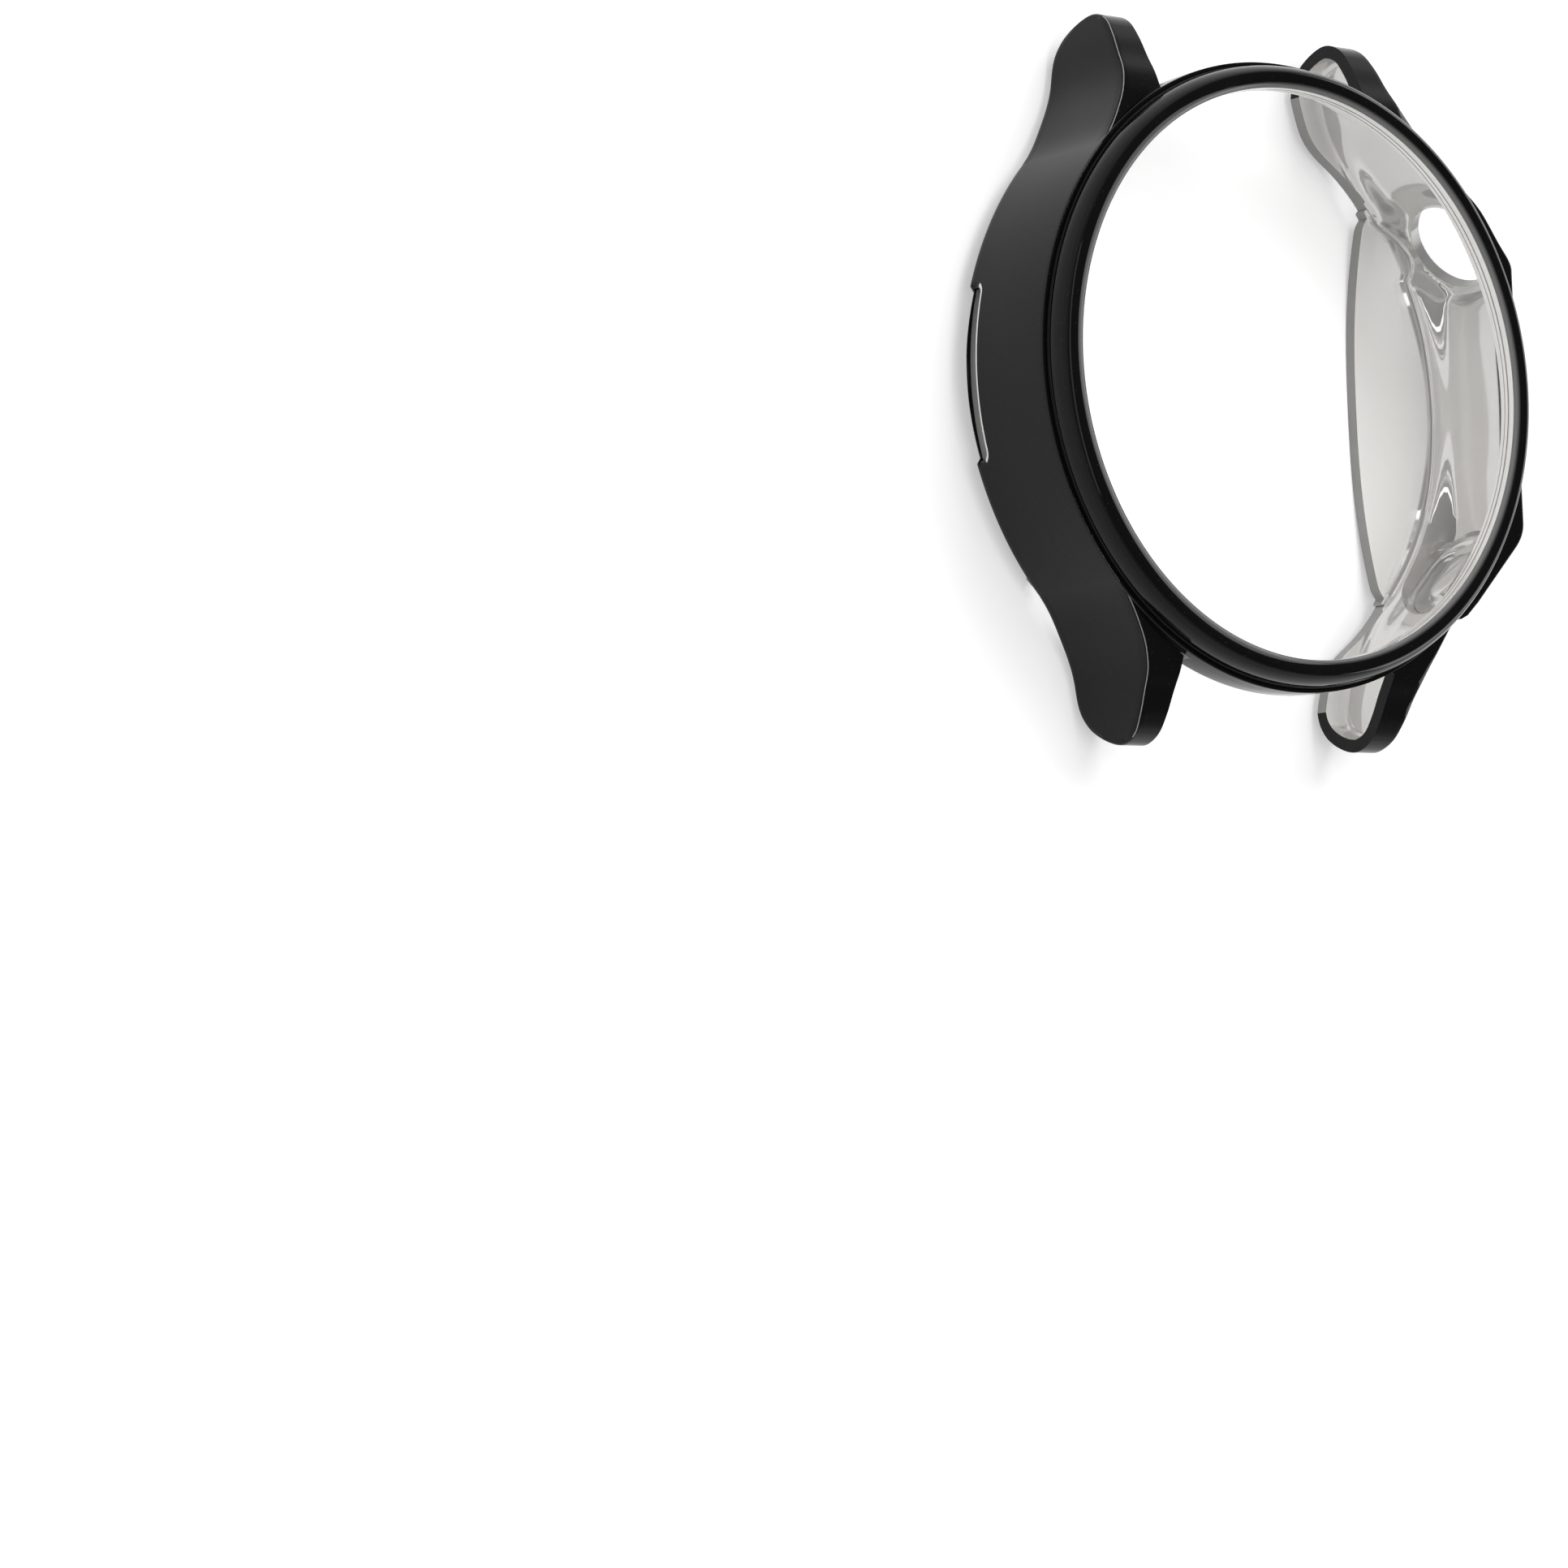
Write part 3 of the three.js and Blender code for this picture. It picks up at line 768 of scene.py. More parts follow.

# %% [markdown]
# The cutter follows the curved wall, and its loops widen as they come out, which rounds the slot's
# upper edge over. That edge catches a bright line of light, and it is painted in: the upright faces
# there get the core's pale finish as a painted highlight. The rest of the rounding stays black.

# %% Speaker slot
SLOT_FILLET = 0.55
SLOT_LEVELS = 6
SLOT_CUT = (-1.7, 1.0)
# Rows of the rounding whose upright faces are painted as a highlight line.
PAINTED_HIGHLIGHT_ROWS = (3, 4, 5, 6)
UPRIGHT = 0.45


def slot_cutter():
    outline_points = slot_outline()
    levels = [(0.0, SLOT_CUT[0])]
    for k in range(SLOT_LEVELS + 1):
        turn = k / SLOT_LEVELS * math.pi / 2
        levels.append((SLOT_FILLET * (1 - math.cos(turn)), SLOT_FILLET * (math.sin(turn) - 1)))
    levels.append((SLOT_FILLET, SLOT_CUT[1]))
    loops = []
    for grow, depth in levels:
        wide = [(y + out_y * grow, z + out_z * grow) for y, z, out_y, out_z in outline_points]
        loops.append([Vector((-(float(side_x(y)) + depth), y, z)) for y, z in wide])

    def finish_of(row, i, n):
        if row == 0:
            return EDGE
        upright = min(outline_points[i][3], outline_points[n][3]) > UPRIGHT
        # Upright faces of these rows take the core's pale finish as a painted highlight.
        return CORE if row in PAINTED_HIGHLIGHT_ROWS and upright else SKIN

    return lofted("slot_cutter", loops, (EDGE, SKIN), finish_of)


carve(left_shell, [slot_cutter()] + [foot_cutter(-1, r) for r in (-1, 1)])

# %% [markdown]
# Shading normals tell the renderer which way a face seems to look at each of its corners. They
# run smoothly over the moulding, and an edge stays sharp only where it bends by more than 30
# degrees or where two finishes meet.

# %% Shading normals
SHARP = math.radians(30)


def shading(mesh):
    work = bmesh.new()
    work.from_mesh(mesh)
    for edge in work.edges:
        two = len(edge.link_faces) == 2
        same = two and edge.link_faces[0].material_index == edge.link_faces[1].material_index
        edge.smooth = bool(two and same and edge.calc_face_angle(0) < SHARP)
    for face in work.faces:
        face.smooth = True
    work.to_mesh(mesh)
    work.free()
    return np.array([tuple(n.vector) for n in mesh.corner_normals])


print("an edge stays sharp from", round(math.degrees(SHARP)), "degrees")

# %% [markdown]
# Skin and core become pieces of their own, because each piece has one slot of finish in the
# record. The normals are worked out on the whole first, and every part keeps its share of them.
# That way no line shows in the gloss where two parts meet.

# %% Parting a whole into layers
LAYERS = {"skin": (SKIN,), "core": (CORE, EDGE)}
EVERYWHERE = (-99, 99)


def part_off(name, mesh, normals, finishes, low, high):
    """A new piece from the faces of some finishes between two y, with their shading normals."""
    points = {}
    faces = []
    finish = []
    kept = []
    for face in mesh.polygons:
        if face.material_index in finishes and low < face.center.y / MM <= high:
            faces.append([points.setdefault(v, len(points)) for v in face.vertices])
            finish.append(face.material_index)
            kept.extend(range(face.loop_start, face.loop_start + face.loop_total))
    places = [tuple(mesh.vertices[v].co) for v in points]
    piece = mesh_object(name, places, faces, finish)
    piece.data.polygons.foreach_set("use_smooth", [True] * len(faces))
    piece.data.normals_split_custom_set([tuple(n) for n in normals[kept]])
    return piece


def in_layers(whole, regions):
    """Skin and core pieces for each named region; the whole is gone afterwards."""
    normals = shading(whole.data)
    parts = {}
    for stem, (low, high) in regions.items():
        for layer, finishes in LAYERS.items():
            name = f"{stem}_{layer}"
            parts[name] = part_off(name, whole.data, normals, finishes, low, high)
    bpy.data.objects.remove(whole)
    return parts


print("layers:", list(LAYERS))

# %% [markdown]
# The moulding flexes where the lug covers leave the flanks, so each side is parted into a flank
# and two lug covers, and each of those into skin and core. At the very tips the plating runs over
# the edge, so faces there that look along the case go over to the skin.

# %% Flanks and lug covers
PART_AT = 22.0
TIPS_BEYOND = 24.2
ENDWISE = 0.8
side_pieces = {}
for hand, whole in (("right", right_shell), ("left", left_shell)):
    for face in whole.data.polygons:
        at_tip = abs(face.center.y) / MM > TIPS_BEYOND and abs(face.normal.y) > ENDWISE
        if face.material_index == EDGE and at_tip:
            face.material_index = SKIN
    side_pieces.update(in_layers(whole, {
        f"lower_{hand}_lug": (EVERYWHERE[0], -PART_AT),
        f"{hand}_flank": (-PART_AT, PART_AT),
        f"upper_{hand}_lug": (PART_AT, EVERYWHERE[1])}))
print("side pieces:", sorted(side_pieces))

# %% [markdown]
# The bezel, the seat and the skirts are turned: a profile is swept round the middle axis. Drawing
# it as a chain of points gives full control of each little edge, which the highlights follow. A
# skirt is only an arc, so its two ends are closed with lids.

# %% Turning a profile
FULL_TURN = 2 * math.pi


def turned(name, profile, finish_of_row, steps, start=0.0, sweep=FULL_TURN):
    """A solid ring or arc from (radius, height) points; each profile row has a finish."""
    full = sweep == FULL_TURN
    count = len(profile)
    rings = steps if full else steps + 1
    points = []
    for k in range(rings):
        angle = start + sweep * k / steps
        points += [(r * math.cos(angle) * MM, r * math.sin(angle) * MM, z * MM) for r, z in profile]
    faces = []
    finish = []
    for k in range(steps):
        a = k * count
        b = ((k + 1) % rings) * count
        for j in range(count):
            n = (j + 1) % count
            faces.append((a + j, b + j, b + n, a + n))
            finish.append(finish_of_row[j])
    if not full:
        faces += [tuple(range(count)), tuple(range((rings - 1) * count, rings * count))[::-1]]
        finish += [EDGE, EDGE]
    return facing_out(mesh_object(name, points, faces, finish))


print("a full turn in degrees:", round(math.degrees(FULL_TURN)))

# %% [markdown]
# The bead stands over the front with a rounded crest, and a fine groove runs round its foot. On
# the real moulding the plating ends just inside the crest, so a narrow band of the inner face is
# left bare and shines through.

# %% Bezel bead
RING_STEPS = 288
BEAD_CORNERS = (
    (21.95, 12.5), (21.95, 12.72), (21.95, 12.98), (22.02, 13.16), (22.16, 13.27), (22.36, 13.36),
    (22.6, 13.43), (22.83, 13.48), (23.0, 13.49), (23.13, 13.44), (23.3, 13.3), (23.49, 13.07),
    (23.67, 12.76), (23.8, 12.4), (23.87, 12.0), (23.88, 11.5))
BEAD_FOOT = (
    (23.88, 11.42), (23.9, 11.38), (23.94, 11.36), (23.965, 11.33), (23.97, 11.28), (23.97, 11.12),
    (23.98, 11.09), (24.02, 11.09), (24.03, 11.12), (24.03, 11.17), (24.05, 11.2), (24.22, 11.2),
    (24.27, 11.185), (24.295, 11.14), (24.3, 11.05))
BEZEL_BACK = ((24.3, 10.35), (23.12, 10.35), (23.12, 12.42), (21.97, 12.42))
BEAD_SPREAD = 0.14
INNER_FACE_WITHIN = 22.2
PLATED_FROM = 12.93
bead = [tuple(p) for p in softened(BEAD_CORNERS, BEAD_SPREAD)[::2]]
bare_rows = sum(1 for r, z in bead if r < INNER_FACE_WITHIN and z < PLATED_FROM)
skin_rows = len(bead) + len(BEAD_FOOT) - bare_rows
bezel_finish = [CORE] * bare_rows + [SKIN] * skin_rows + [CORE] * len(BEZEL_BACK)
bezel_whole = turned("bezel_whole", [*bead, *BEAD_FOOT, *BEZEL_BACK], bezel_finish, RING_STEPS)
ring_pieces = in_layers(bezel_whole, {"bezel_bead": EVERYWHERE})
print("bead rows, bare and plated:", bare_rows, skin_rows)

# %% [markdown]
# Under the bead lies the seat, a clear step with two fine grooves, which give the thin lines that
# run round inside the real one. The skirts are the short curtains between the lug covers. Both
# are turned as well, which keeps them true to the bead.

# %% Seat and skirts
SEAT_PROFILE = (
    (21.99, 11.6), (22.05, 11.55), (22.95, 11.55), (23.0, 11.6), (23.0, 12.3), (22.95, 12.35),
    (22.03, 12.35), (21.97, 12.31), (21.95, 12.24), (21.95, 12.12), (21.99, 12.08), (21.99, 11.98),
    (21.95, 11.94), (21.95, 11.82), (21.99, 11.78), (21.99, 11.7))
SKIRT_PROFILE = (
    (23.3, 10.25), (23.3, 8.75), (23.35, 8.65), (23.45, 8.6), (24.1, 8.6), (24.22, 8.65),
    (24.28, 8.74), (24.3, 8.86), (24.3, 10.25))
SKIRT_FINISH = [CORE] * 3 + [SKIN] * 5 + [CORE]
SKIRT_REACH = 10.5
SKIRT_HALF = math.asin(SKIRT_REACH / BODY_RADIUS)
SKIRT_STEPS = 72
inner_seat = turned("glass_seat_ring", SEAT_PROFILE, [CORE] * len(SEAT_PROFILE), RING_STEPS)
shading(inner_seat.data)
for row, middle in (("upper", math.pi / 2), ("lower", -math.pi / 2)):
    whole = turned(f"{row}_skirt_whole", SKIRT_PROFILE, SKIRT_FINISH, SKIRT_STEPS,
                   middle - SKIRT_HALF, 2 * SKIRT_HALF)
    ring_pieces.update(in_layers(whole, {f"{row}_skirt": EVERYWHERE}))
print("ring pieces:", ["glass_seat_ring"] + sorted(ring_pieces))

# %% [markdown]
# The side button is pressed through a raised pad. The pad hangs in its window on a thin web of the
# same plastic, so the case stays closed, and a small boss behind it passes the press on. Capsules
# of one outline, each at its own size and depth, form web, shoulder, dome and boss.

# %% Button pad and boss
PAD_LENGTH = 7.4
PAD_HEIGHT = 5.0
PAD_LEVELS = (
    (-1.2, -0.44), (-0.8, -0.44), (-0.5, -0.46), (-0.25, -0.5), (-0.05, -0.55), (0.15, -0.6),
    (0.32, -0.66), (0.32, -0.3), (0.16, -0.28), (0.06, -0.22), (0.0, -0.1), (0.0, 0.12),
    (-0.05, 0.24), (-0.16, 0.32), (-0.35, 0.35), (-0.9, 0.35), (-1.6, 0.35))
PAD_FINISH = [CORE] * 6 + [EDGE] + [SKIN] * (len(PAD_LEVELS) - 8)
BOSS_LEVELS = (
    (-1.9, -1.2), (-1.6, -1.18), (-1.4, -1.12), (-1.26, -1.0), (-1.2, -0.85), (-1.16, -0.7),
    (-1.08, -0.56), (-0.9, -0.47), (-0.7, -0.43))
pad_whole = capsule_form("pad_whole", pad_place, PAD_LENGTH, PAD_HEIGHT, PAD_LEVELS,
                         (CORE, SKIN), PAD_FINISH)
pad_pieces = in_layers(pad_whole, {"button_pad": EVERYWHERE})
boss = capsule_form("button_boss_core", pad_place, PAD_LENGTH, PAD_HEIGHT, BOSS_LEVELS,
                    (CORE, CORE), [CORE] * (len(BOSS_LEVELS) - 1))
shading(boss.data)
print("pad levels:", len(PAD_LEVELS), "boss levels:", len(BOSS_LEVELS))

# %% [markdown]
# Now the finishes. An effect is built once as a node group and placed in a material with values of
# its own. These helpers make a group with named sockets, a node with its settings, a mix of two
# sources and a row of links, so that the cells below read as short lists. A Mix node has sockets
# for every kind of value, so a table keeps the numbers of first source, second source and result.

# %% Helpers for nodes
FLOAT = "NodeSocketFloat"
MIX_SOCKETS = {"RGBA": (6, 7, 2), "FLOAT": (2, 3, 0)}


def new_group(name, inputs, outputs):
    tree = bpy.data.node_groups.new(name, "ShaderNodeTree")
    for label, default in inputs.items():
        socket = tree.interface.new_socket(name=label, in_out="INPUT", socket_type=FLOAT)
        socket.default_value = default
    for label in outputs:
        tree.interface.new_socket(name=label, in_out="OUTPUT", socket_type=FLOAT)
    entry, leave = tree.nodes.new("NodeGroupInput"), tree.nodes.new("NodeGroupOutput")
    return tree, entry.outputs, leave.inputs


def add_node(tree, kind, values=None, **settings):
    """A node with its settings, then values for its named or numbered inputs."""
    node = tree.nodes.new(kind)
    for key, value in settings.items():
        setattr(node, key, value)
    for key, value in (values or {}).items():
        node.inputs[key].default_value = value
    return node


def wire(tree, *pairs):
    for source, target in pairs:
        tree.links.new(source, target)


def add_mix(tree, kind, factor, first, second):
    """A Mix node whose factor and two sources are outputs of nodes or plain values."""
    node = add_node(tree, "ShaderNodeMix", data_type=kind)
    at_first, at_second, at_result = MIX_SOCKETS[kind]
    for source, at in ((factor, 0), (first, at_first), (second, at_second)):
        if isinstance(source, bpy.types.NodeSocket):
            tree.links.new(source, node.inputs[at])
        else:
            node.inputs[at].default_value = source
    return node.outputs[at_result]


print("mix kinds:", list(MIX_SOCKETS))

# %% [markdown]
# Real mouldings are never perfect: a faint ripple from the tool bends the reflections. Two noises,
# a broad and a fine one, are mixed to one height. All three finishes use it, each at its own scale.

# %% Ripple of the moulding
ripple, given, result = new_group(
    "moulding_ripple", {"Scale": 120.0, "Fine scale": 900.0, "Fine share": 0.15}, ["Height"])
spot = add_node(ripple, "ShaderNodeTexCoord").outputs["Object"]
broad = add_node(ripple, "ShaderNodeTexNoise")
fine = add_node(ripple, "ShaderNodeTexNoise")
height = add_mix(ripple, "FLOAT", given["Fine share"], broad.outputs["Fac"], fine.outputs["Fac"])
wire(ripple,
     (spot, broad.inputs["Vector"]), (given["Scale"], broad.inputs["Scale"]),
     (spot, fine.inputs["Vector"]), (given["Fine scale"], fine.inputs["Scale"]),
     (height, result["Height"]))
print("group:", ripple.name)

# %% [markdown]
# Handling leaves fine dust and hairlines, which scatter a little light. Dust is the middle of each
# cell of a Voronoi texture, cut off at a small distance. Hairlines are the peaks of a noise that is
# stretched along one direction. Each comes out as a mask between 0 and 1.

# %% Handling marks
DUST_REACH = {"From Min": 0.12, "From Max": 0.03}
HAIRLINE_PEAK = {"From Min": 0.66, "From Max": 0.72}
HAIRLINE_STRETCH = {"Scale": (1.0, 0.08, 1.0), "Rotation": (0.3, 0.5, 0.7)}
handling, given, result = new_group(
    "handling_marks", {"Speck scale": 2600.0, "Line scale": 380.0}, ["Specks", "Hairlines"])
spot = add_node(handling, "ShaderNodeTexCoord").outputs["Object"]
specks = add_node(handling, "ShaderNodeTexVoronoi")
speck_mask = add_node(handling, "ShaderNodeMapRange", DUST_REACH)
stretch = add_node(handling, "ShaderNodeMapping", HAIRLINE_STRETCH)
lines = add_node(handling, "ShaderNodeTexNoise")
line_mask = add_node(handling, "ShaderNodeMapRange", HAIRLINE_PEAK)
wire(handling,
     (spot, specks.inputs["Vector"]), (given["Speck scale"], specks.inputs["Scale"]),
     (specks.outputs["Distance"], speck_mask.inputs["Value"]),
     (speck_mask.outputs["Result"], result["Specks"]),
     (spot, stretch.inputs["Vector"]), (stretch.outputs["Vector"], lines.inputs["Vector"]),
     (given["Line scale"], lines.inputs["Scale"]),
     (lines.outputs["Fac"], line_mask.inputs["Value"]),
     (line_mask.outputs["Result"], result["Hairlines"]))
print("group:", handling.name)

# %% [markdown]
# A painted highlight on the inner face of the bead: a grey laid over the black stands in for the
# light that this slope reflects. The mask grows as a point's distance from the middle axis falls
# from one radius to the other, and counts only above the seat.

# %% Painted highlight on the bead's inner face
# This mask places a painted highlight: a grey that stands in for light reflected on the bead's
# inner slope.
PAINTED_HIGHLIGHT_ABOVE = 12.4
bead_highlight_group, given, result = new_group(
    "painted_highlight_on_bead_inside", {"Outer radius": 22.4 * MM, "Inner radius": 22.0 * MM}, ["Thin"])
spot = add_node(bead_highlight_group, "ShaderNodeTexCoord").outputs["Object"]
flat = add_node(bead_highlight_group, "ShaderNodeVectorMath", {1: (1, 1, 0)}, operation="MULTIPLY")
radius = add_node(bead_highlight_group, "ShaderNodeVectorMath", operation="LENGTH")
axes = add_node(bead_highlight_group, "ShaderNodeSeparateXYZ")
high = add_node(bead_highlight_group, "ShaderNodeMath", {1: PAINTED_HIGHLIGHT_ABOVE * MM}, operation="GREATER_THAN")
near = add_node(bead_highlight_group, "ShaderNodeMapRange", interpolation_type="SMOOTHSTEP")
both = add_node(bead_highlight_group, "ShaderNodeMath", operation="MULTIPLY")
wire(bead_highlight_group,
     (spot, flat.inputs[0]), (flat.outputs["Vector"], radius.inputs[0]),
     (radius.outputs["Value"], near.inputs["Value"]),
     (given["Outer radius"], near.inputs["From Min"]),
     (given["Inner radius"], near.inputs["From Max"]),
     (spot, axes.inputs[0]), (axes.outputs["Z"], high.inputs[0]),
     (near.outputs["Result"], both.inputs[0]), (high.outputs[0], both.inputs[1]),
     (both.outputs[0], result["Thin"]))
print("group:", bead_highlight_group.name)

# %% [markdown]
# The back lip isn't polished as the wall is: it looks milky. This mask is 1 below a height close to
# the foot and 0 above it, with a soft step between the two.

# %% Frost near the back
frosting, given, result = new_group(
    "frosted_near_the_back", {"From height": 2.36 * MM, "To height": 2.2 * MM}, ["Frost"])
spot = add_node(frosting, "ShaderNodeTexCoord").outputs["Object"]
axes = add_node(frosting, "ShaderNodeSeparateXYZ")
low = add_node(frosting, "ShaderNodeMapRange", interpolation_type="SMOOTHSTEP")
wire(frosting,
     (spot, axes.inputs[0]), (axes.outputs["Z"], low.inputs["Value"]),
     (given["From height"], low.inputs["From Min"]),
     (given["To height"], low.inputs["From Max"]),
     (low.outputs["Result"], result["Frost"]))
print("node groups:", [g.name for g in bpy.data.node_groups])

# %% [markdown]
# Every finish places ripple and handling marks with its own values: the ripple tints the colour
# a little and bends the normal, dust lies on the colour, and hairlines dull the gloss. A second
# helper lets a mask lay another value over what already feeds a socket of the shader.

# %% How a finish is put together
DUST_COLOUR = (0.32, 0.31, 0.3, 1)
DUST_SHARE = 0.12


def finish_material(material, tints, roughness, ripple_size, ripple_depth, settings):
    """Tints are dark and light, roughness is clean and marked; the settings go on the shader."""
    material.use_nodes = True
    tree = material.node_tree
    shader = tree.nodes["Principled BSDF"]
    for key, value in settings.items():
        shader.inputs[key].default_value = value
    waves = add_node(tree, "ShaderNodeGroup", {"Scale": ripple_size}, node_tree=ripple)
    marks = add_node(tree, "ShaderNodeGroup", node_tree=handling)
    dust = add_node(tree, "ShaderNodeMath", {1: DUST_SHARE}, operation="MULTIPLY")
    tint = add_mix(tree, "RGBA", waves.outputs["Height"], *[(*colour, 1) for colour in tints])
    dusted = add_mix(tree, "RGBA", dust.outputs[0], tint, DUST_COLOUR)
    rub = add_node(tree, "ShaderNodeMapRange", dict(zip(("To Min", "To Max"), roughness)))
    bump = add_node(tree, "ShaderNodeBump", {"Strength": 1.0, "Distance": ripple_depth * MM})
    wire(tree,
         (marks.outputs["Specks"], dust.inputs[0]), (dusted, shader.inputs["Base Color"]),
         (marks.outputs["Hairlines"], rub.inputs["Value"]),
         (rub.outputs["Result"], shader.inputs["Roughness"]),
         (waves.outputs["Height"], bump.inputs["Height"]),
         (bump.outputs["Normal"], shader.inputs["Normal"]))


def laid_over(material, socket, mask, value):
    """Where a mask is high, a value takes the place of what feeds a socket of the shader."""
    tree = material.node_tree
    target = tree.nodes["Principled BSDF"].inputs[socket]
    kind = "RGBA" if isinstance(value, tuple) else "FLOAT"
    wire(tree, (add_mix(tree, kind, mask, target.links[0].from_socket, value), target))


print("dust colour:", DUST_COLOUR[:3])

# %% [markdown]
# The plated skin is nearly black with a clear gloss. It takes little light straight on, so its
# specular level is low, and what shows is the soft mirror image of the lamps. On the bead's inner
# face a mid grey is painted over the black as a highlight.

# %% Plated black skin
PAINTED_HIGHLIGHT_GREY = (0.19, 0.19, 0.188, 1)
finish_material(
    plated, ((0.003, 0.003, 0.0032), (0.006, 0.006, 0.0065)), (0.05, 0.12), 160, 0.003,
    {"Metallic": 0.0, "IOR": 1.5, "Specular IOR Level": 0.15, "Coat Weight": 0.0})
# Painted highlight: a mid grey laid over the black on the bead's inner face.
highlight_mask = add_node(plated.node_tree, "ShaderNodeGroup", node_tree=bead_highlight_group)
laid_over(plated, "Base Color", highlight_mask.outputs["Thin"], PAINTED_HIGHLIGHT_GREY)
print("finished:", plated.name)

# %% [markdown]
# The core is bright, because it is looked at through clear plastic onto the silvery back of the
# plating: half metal under a thin clear coat. Towards the back lip the silver goes and a milky,
# duller white takes over. The bare edge is greyer and duller than both.

# %% Clear core and bare edge
MILKY = (0.92, 0.905, 0.885, 1)
MILKY_ROUGHNESS = 0.3
SILVER = {"To Min": 0.5, "To Max": 0.05}
finish_material(
    clear_core, ((0.66, 0.647, 0.63), (0.74, 0.73, 0.715)), (0.06, 0.12), 140, 0.004,
    {"IOR": 1.5, "Coat Weight": 0.5, "Coat Roughness": 0.03})
tree = clear_core.node_tree
frost = add_node(tree, "ShaderNodeGroup", node_tree=frosting).outputs["Frost"]
laid_over(clear_core, "Base Color", frost, MILKY)
laid_over(clear_core, "Roughness", frost, MILKY_ROUGHNESS)
silver = add_node(tree, "ShaderNodeMapRange", SILVER)
wire(tree, (frost, silver.inputs["Value"]),
     (silver.outputs["Result"], tree.nodes["Principled BSDF"].inputs["Metallic"]))
finish_material(
    cut_edge, ((0.27, 0.268, 0.264), (0.33, 0.327, 0.32)), (0.22, 0.35), 300, 0.01,
    {"Metallic": 0.0, "IOR": 1.5, "Coat Weight": 0.2, "Coat Roughness": 0.1})
print("finishes:", [m.name for m in FINISHES])

# %% [markdown]
# The lug covers and flanks are soft: they follow the bezel where they leave it and their own body
# further out. A weight is worked out for every point of them, running across the joint. A flank
# also stays with the bezel towards its two ends, where it runs on into the lug covers, so its
# weights fade along its length as well as with the height.

# %% Weights for the flanks and lug covers
FLANK_BEND = (DECK_TOP, 3)
FLANK_HELD = 0.3
FLANK_FADE = 1.6
FLANK_ENDS = 21.8
END_FADE = 7.5
END_FADE_AT_BUTTON = 4.3
LUG_BEND = (22.6, 27.2)


def fade(piece, child, start, end, weight):
    """Bakes a piece's place into its points, then works out the weight of the soft moulding at each
    point.
    """
    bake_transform(piece)
    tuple(start)
    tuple(end)
    places = np.array([v.co for v in piece.data.vertices], float) / MM
    weight(places).astype(np.float32)


def flank_weight(places):
    height = smoothstep(DECK_TOP - FLANK_HELD - places[:, 2], 0, FLANK_FADE)
    near_button = (places[:, 0] > 0) & (places[:, 1] < 0)
    end_fade = np.where(near_button, END_FADE_AT_BUTTON, END_FADE)
    return height * smoothstep(FLANK_ENDS - np.abs(places[:, 1]), 0, end_fade)


def lug_weight(places):
    return smoothstep(np.abs(places[:, 1]), *LUG_BEND)


for name, piece in side_pieces.items():
    body, layer = name.rsplit("_", 1)
    if body.endswith("flank"):
        x = (BODY_RADIUS if body.startswith("right") else -BODY_RADIUS) * MM
        start, end = ((x, 0, z * MM) for z in FLANK_BEND)
        fade(piece, body, start, end, flank_weight)
    else:
        row = 1 if body.startswith("upper") else -1
        start, end = ((0, row * y * MM, 0) for y in LUG_BEND)
        fade(piece, body, start, end, lug_weight)
print("blended side pieces:", len(side_pieces))

# %% [markdown]
# The rings don't bend, so they simply ride on the bezel. On the real case the button's pad slides,
# while the rim of its web stays with the flank; a weight is worked out for the pad's points,
# running from none at the outline to full a little inside it. The boss rides on the button as a
# whole.

# %% Rings and boss on their bodies, and the pad's weights
WEB_FADE = (-0.3, -0.02)
for name, piece in ring_pieces.items():
    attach(piece, "bezel")
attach(inner_seat, "bezel")


def pad_weight(places):
    """Full within the pad, none at the web's rim."""
    local = np.array([tuple(pad_place.inverted() @ Vector(p)) for p in places])
    radius = PAD_HEIGHT / 2
    beyond = np.maximum(np.abs(local[:, 0]) - (PAD_LENGTH / 2 - radius), 0)
    reach = np.hypot(beyond, local[:, 1]) - radius
    return smoothstep(-reach, *WEB_FADE)


pad_out = Vector(pad_place.col[2][:3])
pad_centre = Vector(pad_place.col[3][:3])
for name, piece in pad_pieces.items():
    fade(piece, "button", pad_centre * MM, (pad_centre + pad_out) * MM, pad_weight)
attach(boss, "button")

# %% [markdown]
# A plain table gives the measured solids that each skin piece stands for, and these are hidden. The
# skin of a form speaks for all of it, so its core replaces nothing.

# %% Solids that the pieces stand for
STANDS_FOR = {
    "left_flank_skin": ("left_side_wall", "left_back_lip"),
    "right_flank_skin": ("right_side_wall", "right_back_lip", "crown_facet", "button_facet"),
    "bezel_bead_skin": ("bezel_ring",),
    "glass_seat_ring": ("bezel_inner_seat",),
    "button_pad_skin": ("button_pad",),
    "button_boss_core": ("button_boss",)}
for row in ("upper", "lower"):
    STANDS_FOR[f"{row}_skirt_skin"] = (f"{row}_skirt",)
    for hand in ("left", "right"):
        corner = f"{row}_{hand}"
        STANDS_FOR[f"{corner}_lug_skin"] = (f"{corner}_lug_cover", f"{corner}_back_hook")
for name, nodes in STANDS_FOR.items():
    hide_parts(*nodes)
print("solids replaced:", sum(len(nodes) for nodes in STANDS_FOR.values()))

# %% [markdown]
# The case lies on a pale floor. The floor shows white to the camera and in the gloss, through its
# own colour and a little light of its own for camera, glossy and transmission rays, and it still
# takes the shadow. More light on the object would whiten the floor too, but bleach the object.

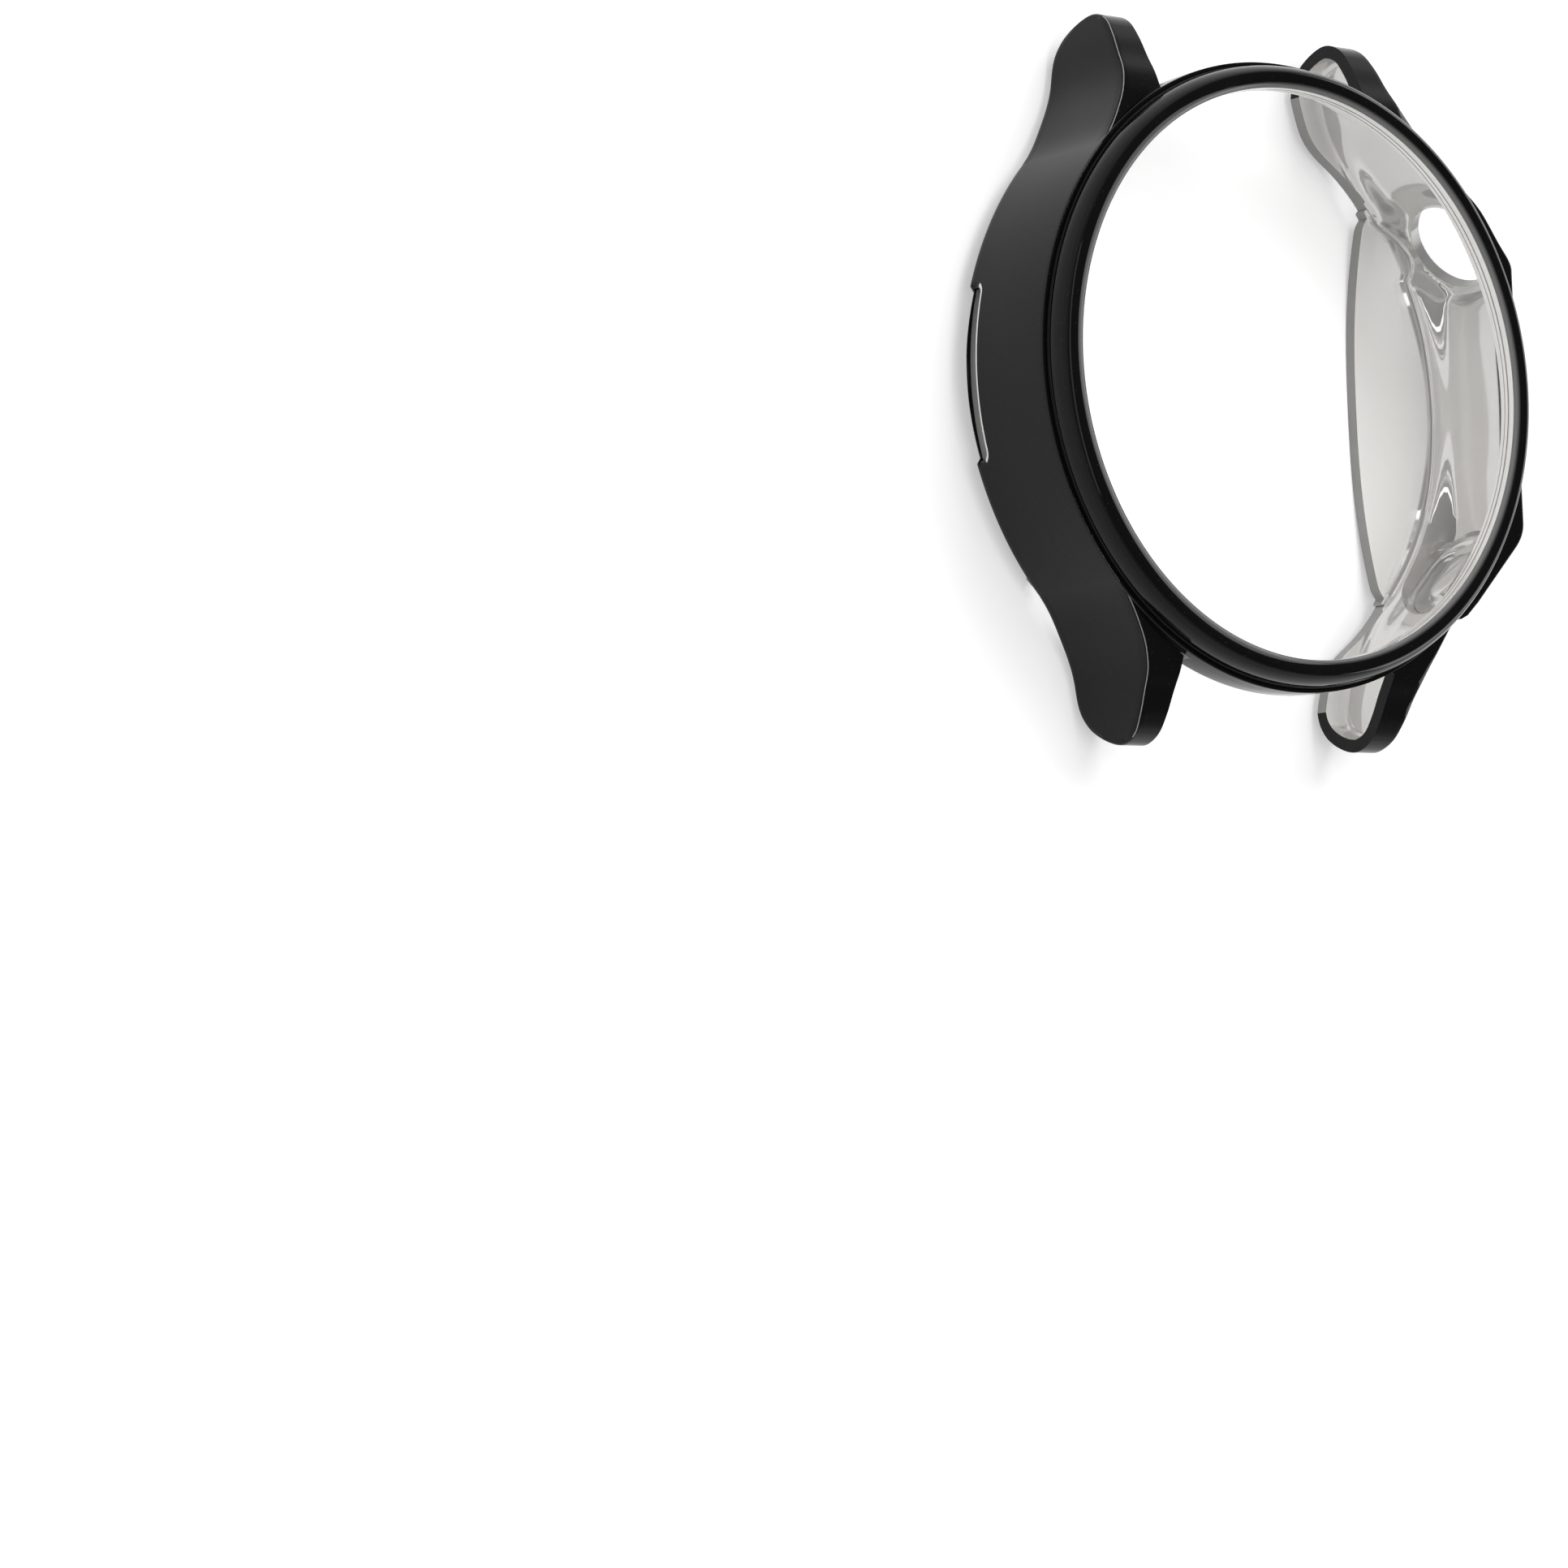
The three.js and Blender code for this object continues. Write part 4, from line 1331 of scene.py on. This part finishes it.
# %% Floor
FLOOR_SIZE = 4.0
FLOOR_GLOW = 0.4
half = FLOOR_SIZE / 2
floor_mesh = bpy.data.meshes.new("studio_floor")
floor_mesh.from_pydata(
    [(x * half, y * half, 0) for x, y in ((-1, -1), (1, -1), (1, 1), (-1, 1))], [], [(0, 1, 2, 3)])
floor = bpy.data.objects.new("studio_floor", floor_mesh)
bpy.context.collection.objects.link(floor)
floor_white = bpy.data.materials.new("studio_floor_white")
floor_white.use_nodes = True
tree = floor_white.node_tree
shader = tree.nodes["Principled BSDF"]
for key, value in {"Base Color": (0.85, 0.85, 0.85, 1), "Roughness": 0.9, "Specular IOR Level": 0.0,
                   "Emission Color": (1, 1, 1, 1)}.items():
    shader.inputs[key].default_value = value
rays = add_node(tree, "ShaderNodeLightPath")
seen = add_node(tree, "ShaderNodeMath", operation="MAXIMUM")
seen_all = add_node(tree, "ShaderNodeMath", operation="MAXIMUM")
glow = add_node(tree, "ShaderNodeMath", {1: FLOOR_GLOW}, operation="MULTIPLY")
wire(tree,
     (rays.outputs["Is Camera Ray"], seen.inputs[0]),
     (rays.outputs["Is Glossy Ray"], seen.inputs[1]),
     (seen.outputs[0], seen_all.inputs[0]),
     (rays.outputs["Is Transmission Ray"], seen_all.inputs[1]),
     (seen_all.outputs[0], glow.inputs[0]), (glow.outputs[0], shader.inputs["Emission Strength"]))
floor_mesh.materials.append(floor_white)
print("floor in metres:", FLOOR_SIZE)

# %% [markdown]
# The world is what the gloss mirrors where no lamp is. It is white up to a little above the
# horizon, like a pale room, and dark grey overhead, so that faces which look up stay black. A
# colour ramp over the height of each direction does that.

# %% World
RAMP = ((0.1, (1, 1, 1, 1)), (0.5, (0.12, 0.12, 0.12, 1)))
world = bpy.data.worlds.new("studio_world")
bpy.context.scene.world = world
world.use_nodes = True
tree = world.node_tree
background = tree.nodes["Background"]
background.inputs["Strength"].default_value = 1.0
direction = add_node(tree, "ShaderNodeTexCoord")
axes = add_node(tree, "ShaderNodeSeparateXYZ")
sky = add_node(tree, "ShaderNodeValToRGB")
sky.color_ramp.interpolation = "EASE"
for element, (position, colour) in zip(sky.color_ramp.elements, RAMP):
    element.position = position
    element.color = colour
wire(tree,
     (direction.outputs["Generated"], axes.inputs[0]), (axes.outputs["Z"], sky.inputs[0]),
     (sky.outputs["Color"], background.inputs["Color"]))
print("world:", world.name)

# %% [markdown]
# Four soft lamps make a plain studio. The key gives the shadow and the fill lifts it. Neither may
# show in the gloss, because a square lamp would mirror as a patch. The long left strip draws the
# highlights along the bead. The right card lights nothing and is only mirrored: it makes the light
# line on the inner face of the bead.

# %% Lamps
def soft_lamp(name, at, size, power):
    """A rectangular lamp in metres and watts that looks at the case."""
    data = bpy.data.lights.new(name, "AREA")
    data.shape = "RECTANGLE"
    data.size, data.size_y = size
    data.energy = power
    lamp = bpy.data.objects.new(name, data)
    lamp.location = at
    lamp.rotation_euler = (-Vector(at)).to_track_quat("-Z", "Y").to_euler()
    bpy.context.collection.objects.link(lamp)
    return lamp


soft_lamp("key_softbox", (0.12, 0.36, 0.60), (0.45, 0.45), 2.3).visible_glossy = False
soft_lamp("top_fill", (-0.14, -0.06, 0.67), (0.5, 0.5), 1.8).visible_glossy = False
soft_lamp("left_strip", (-0.62, 0.05, 0.41), (1.1, 0.1), 0.7)
soft_lamp("right_card", (0.78, 0.05, 0.28), (1.2, 0.45), 6.5).visible_diffuse = False
bpy.context.scene.view_settings.view_transform = "Standard"
print("lamps:", [lamp.name for lamp in bpy.data.lights])
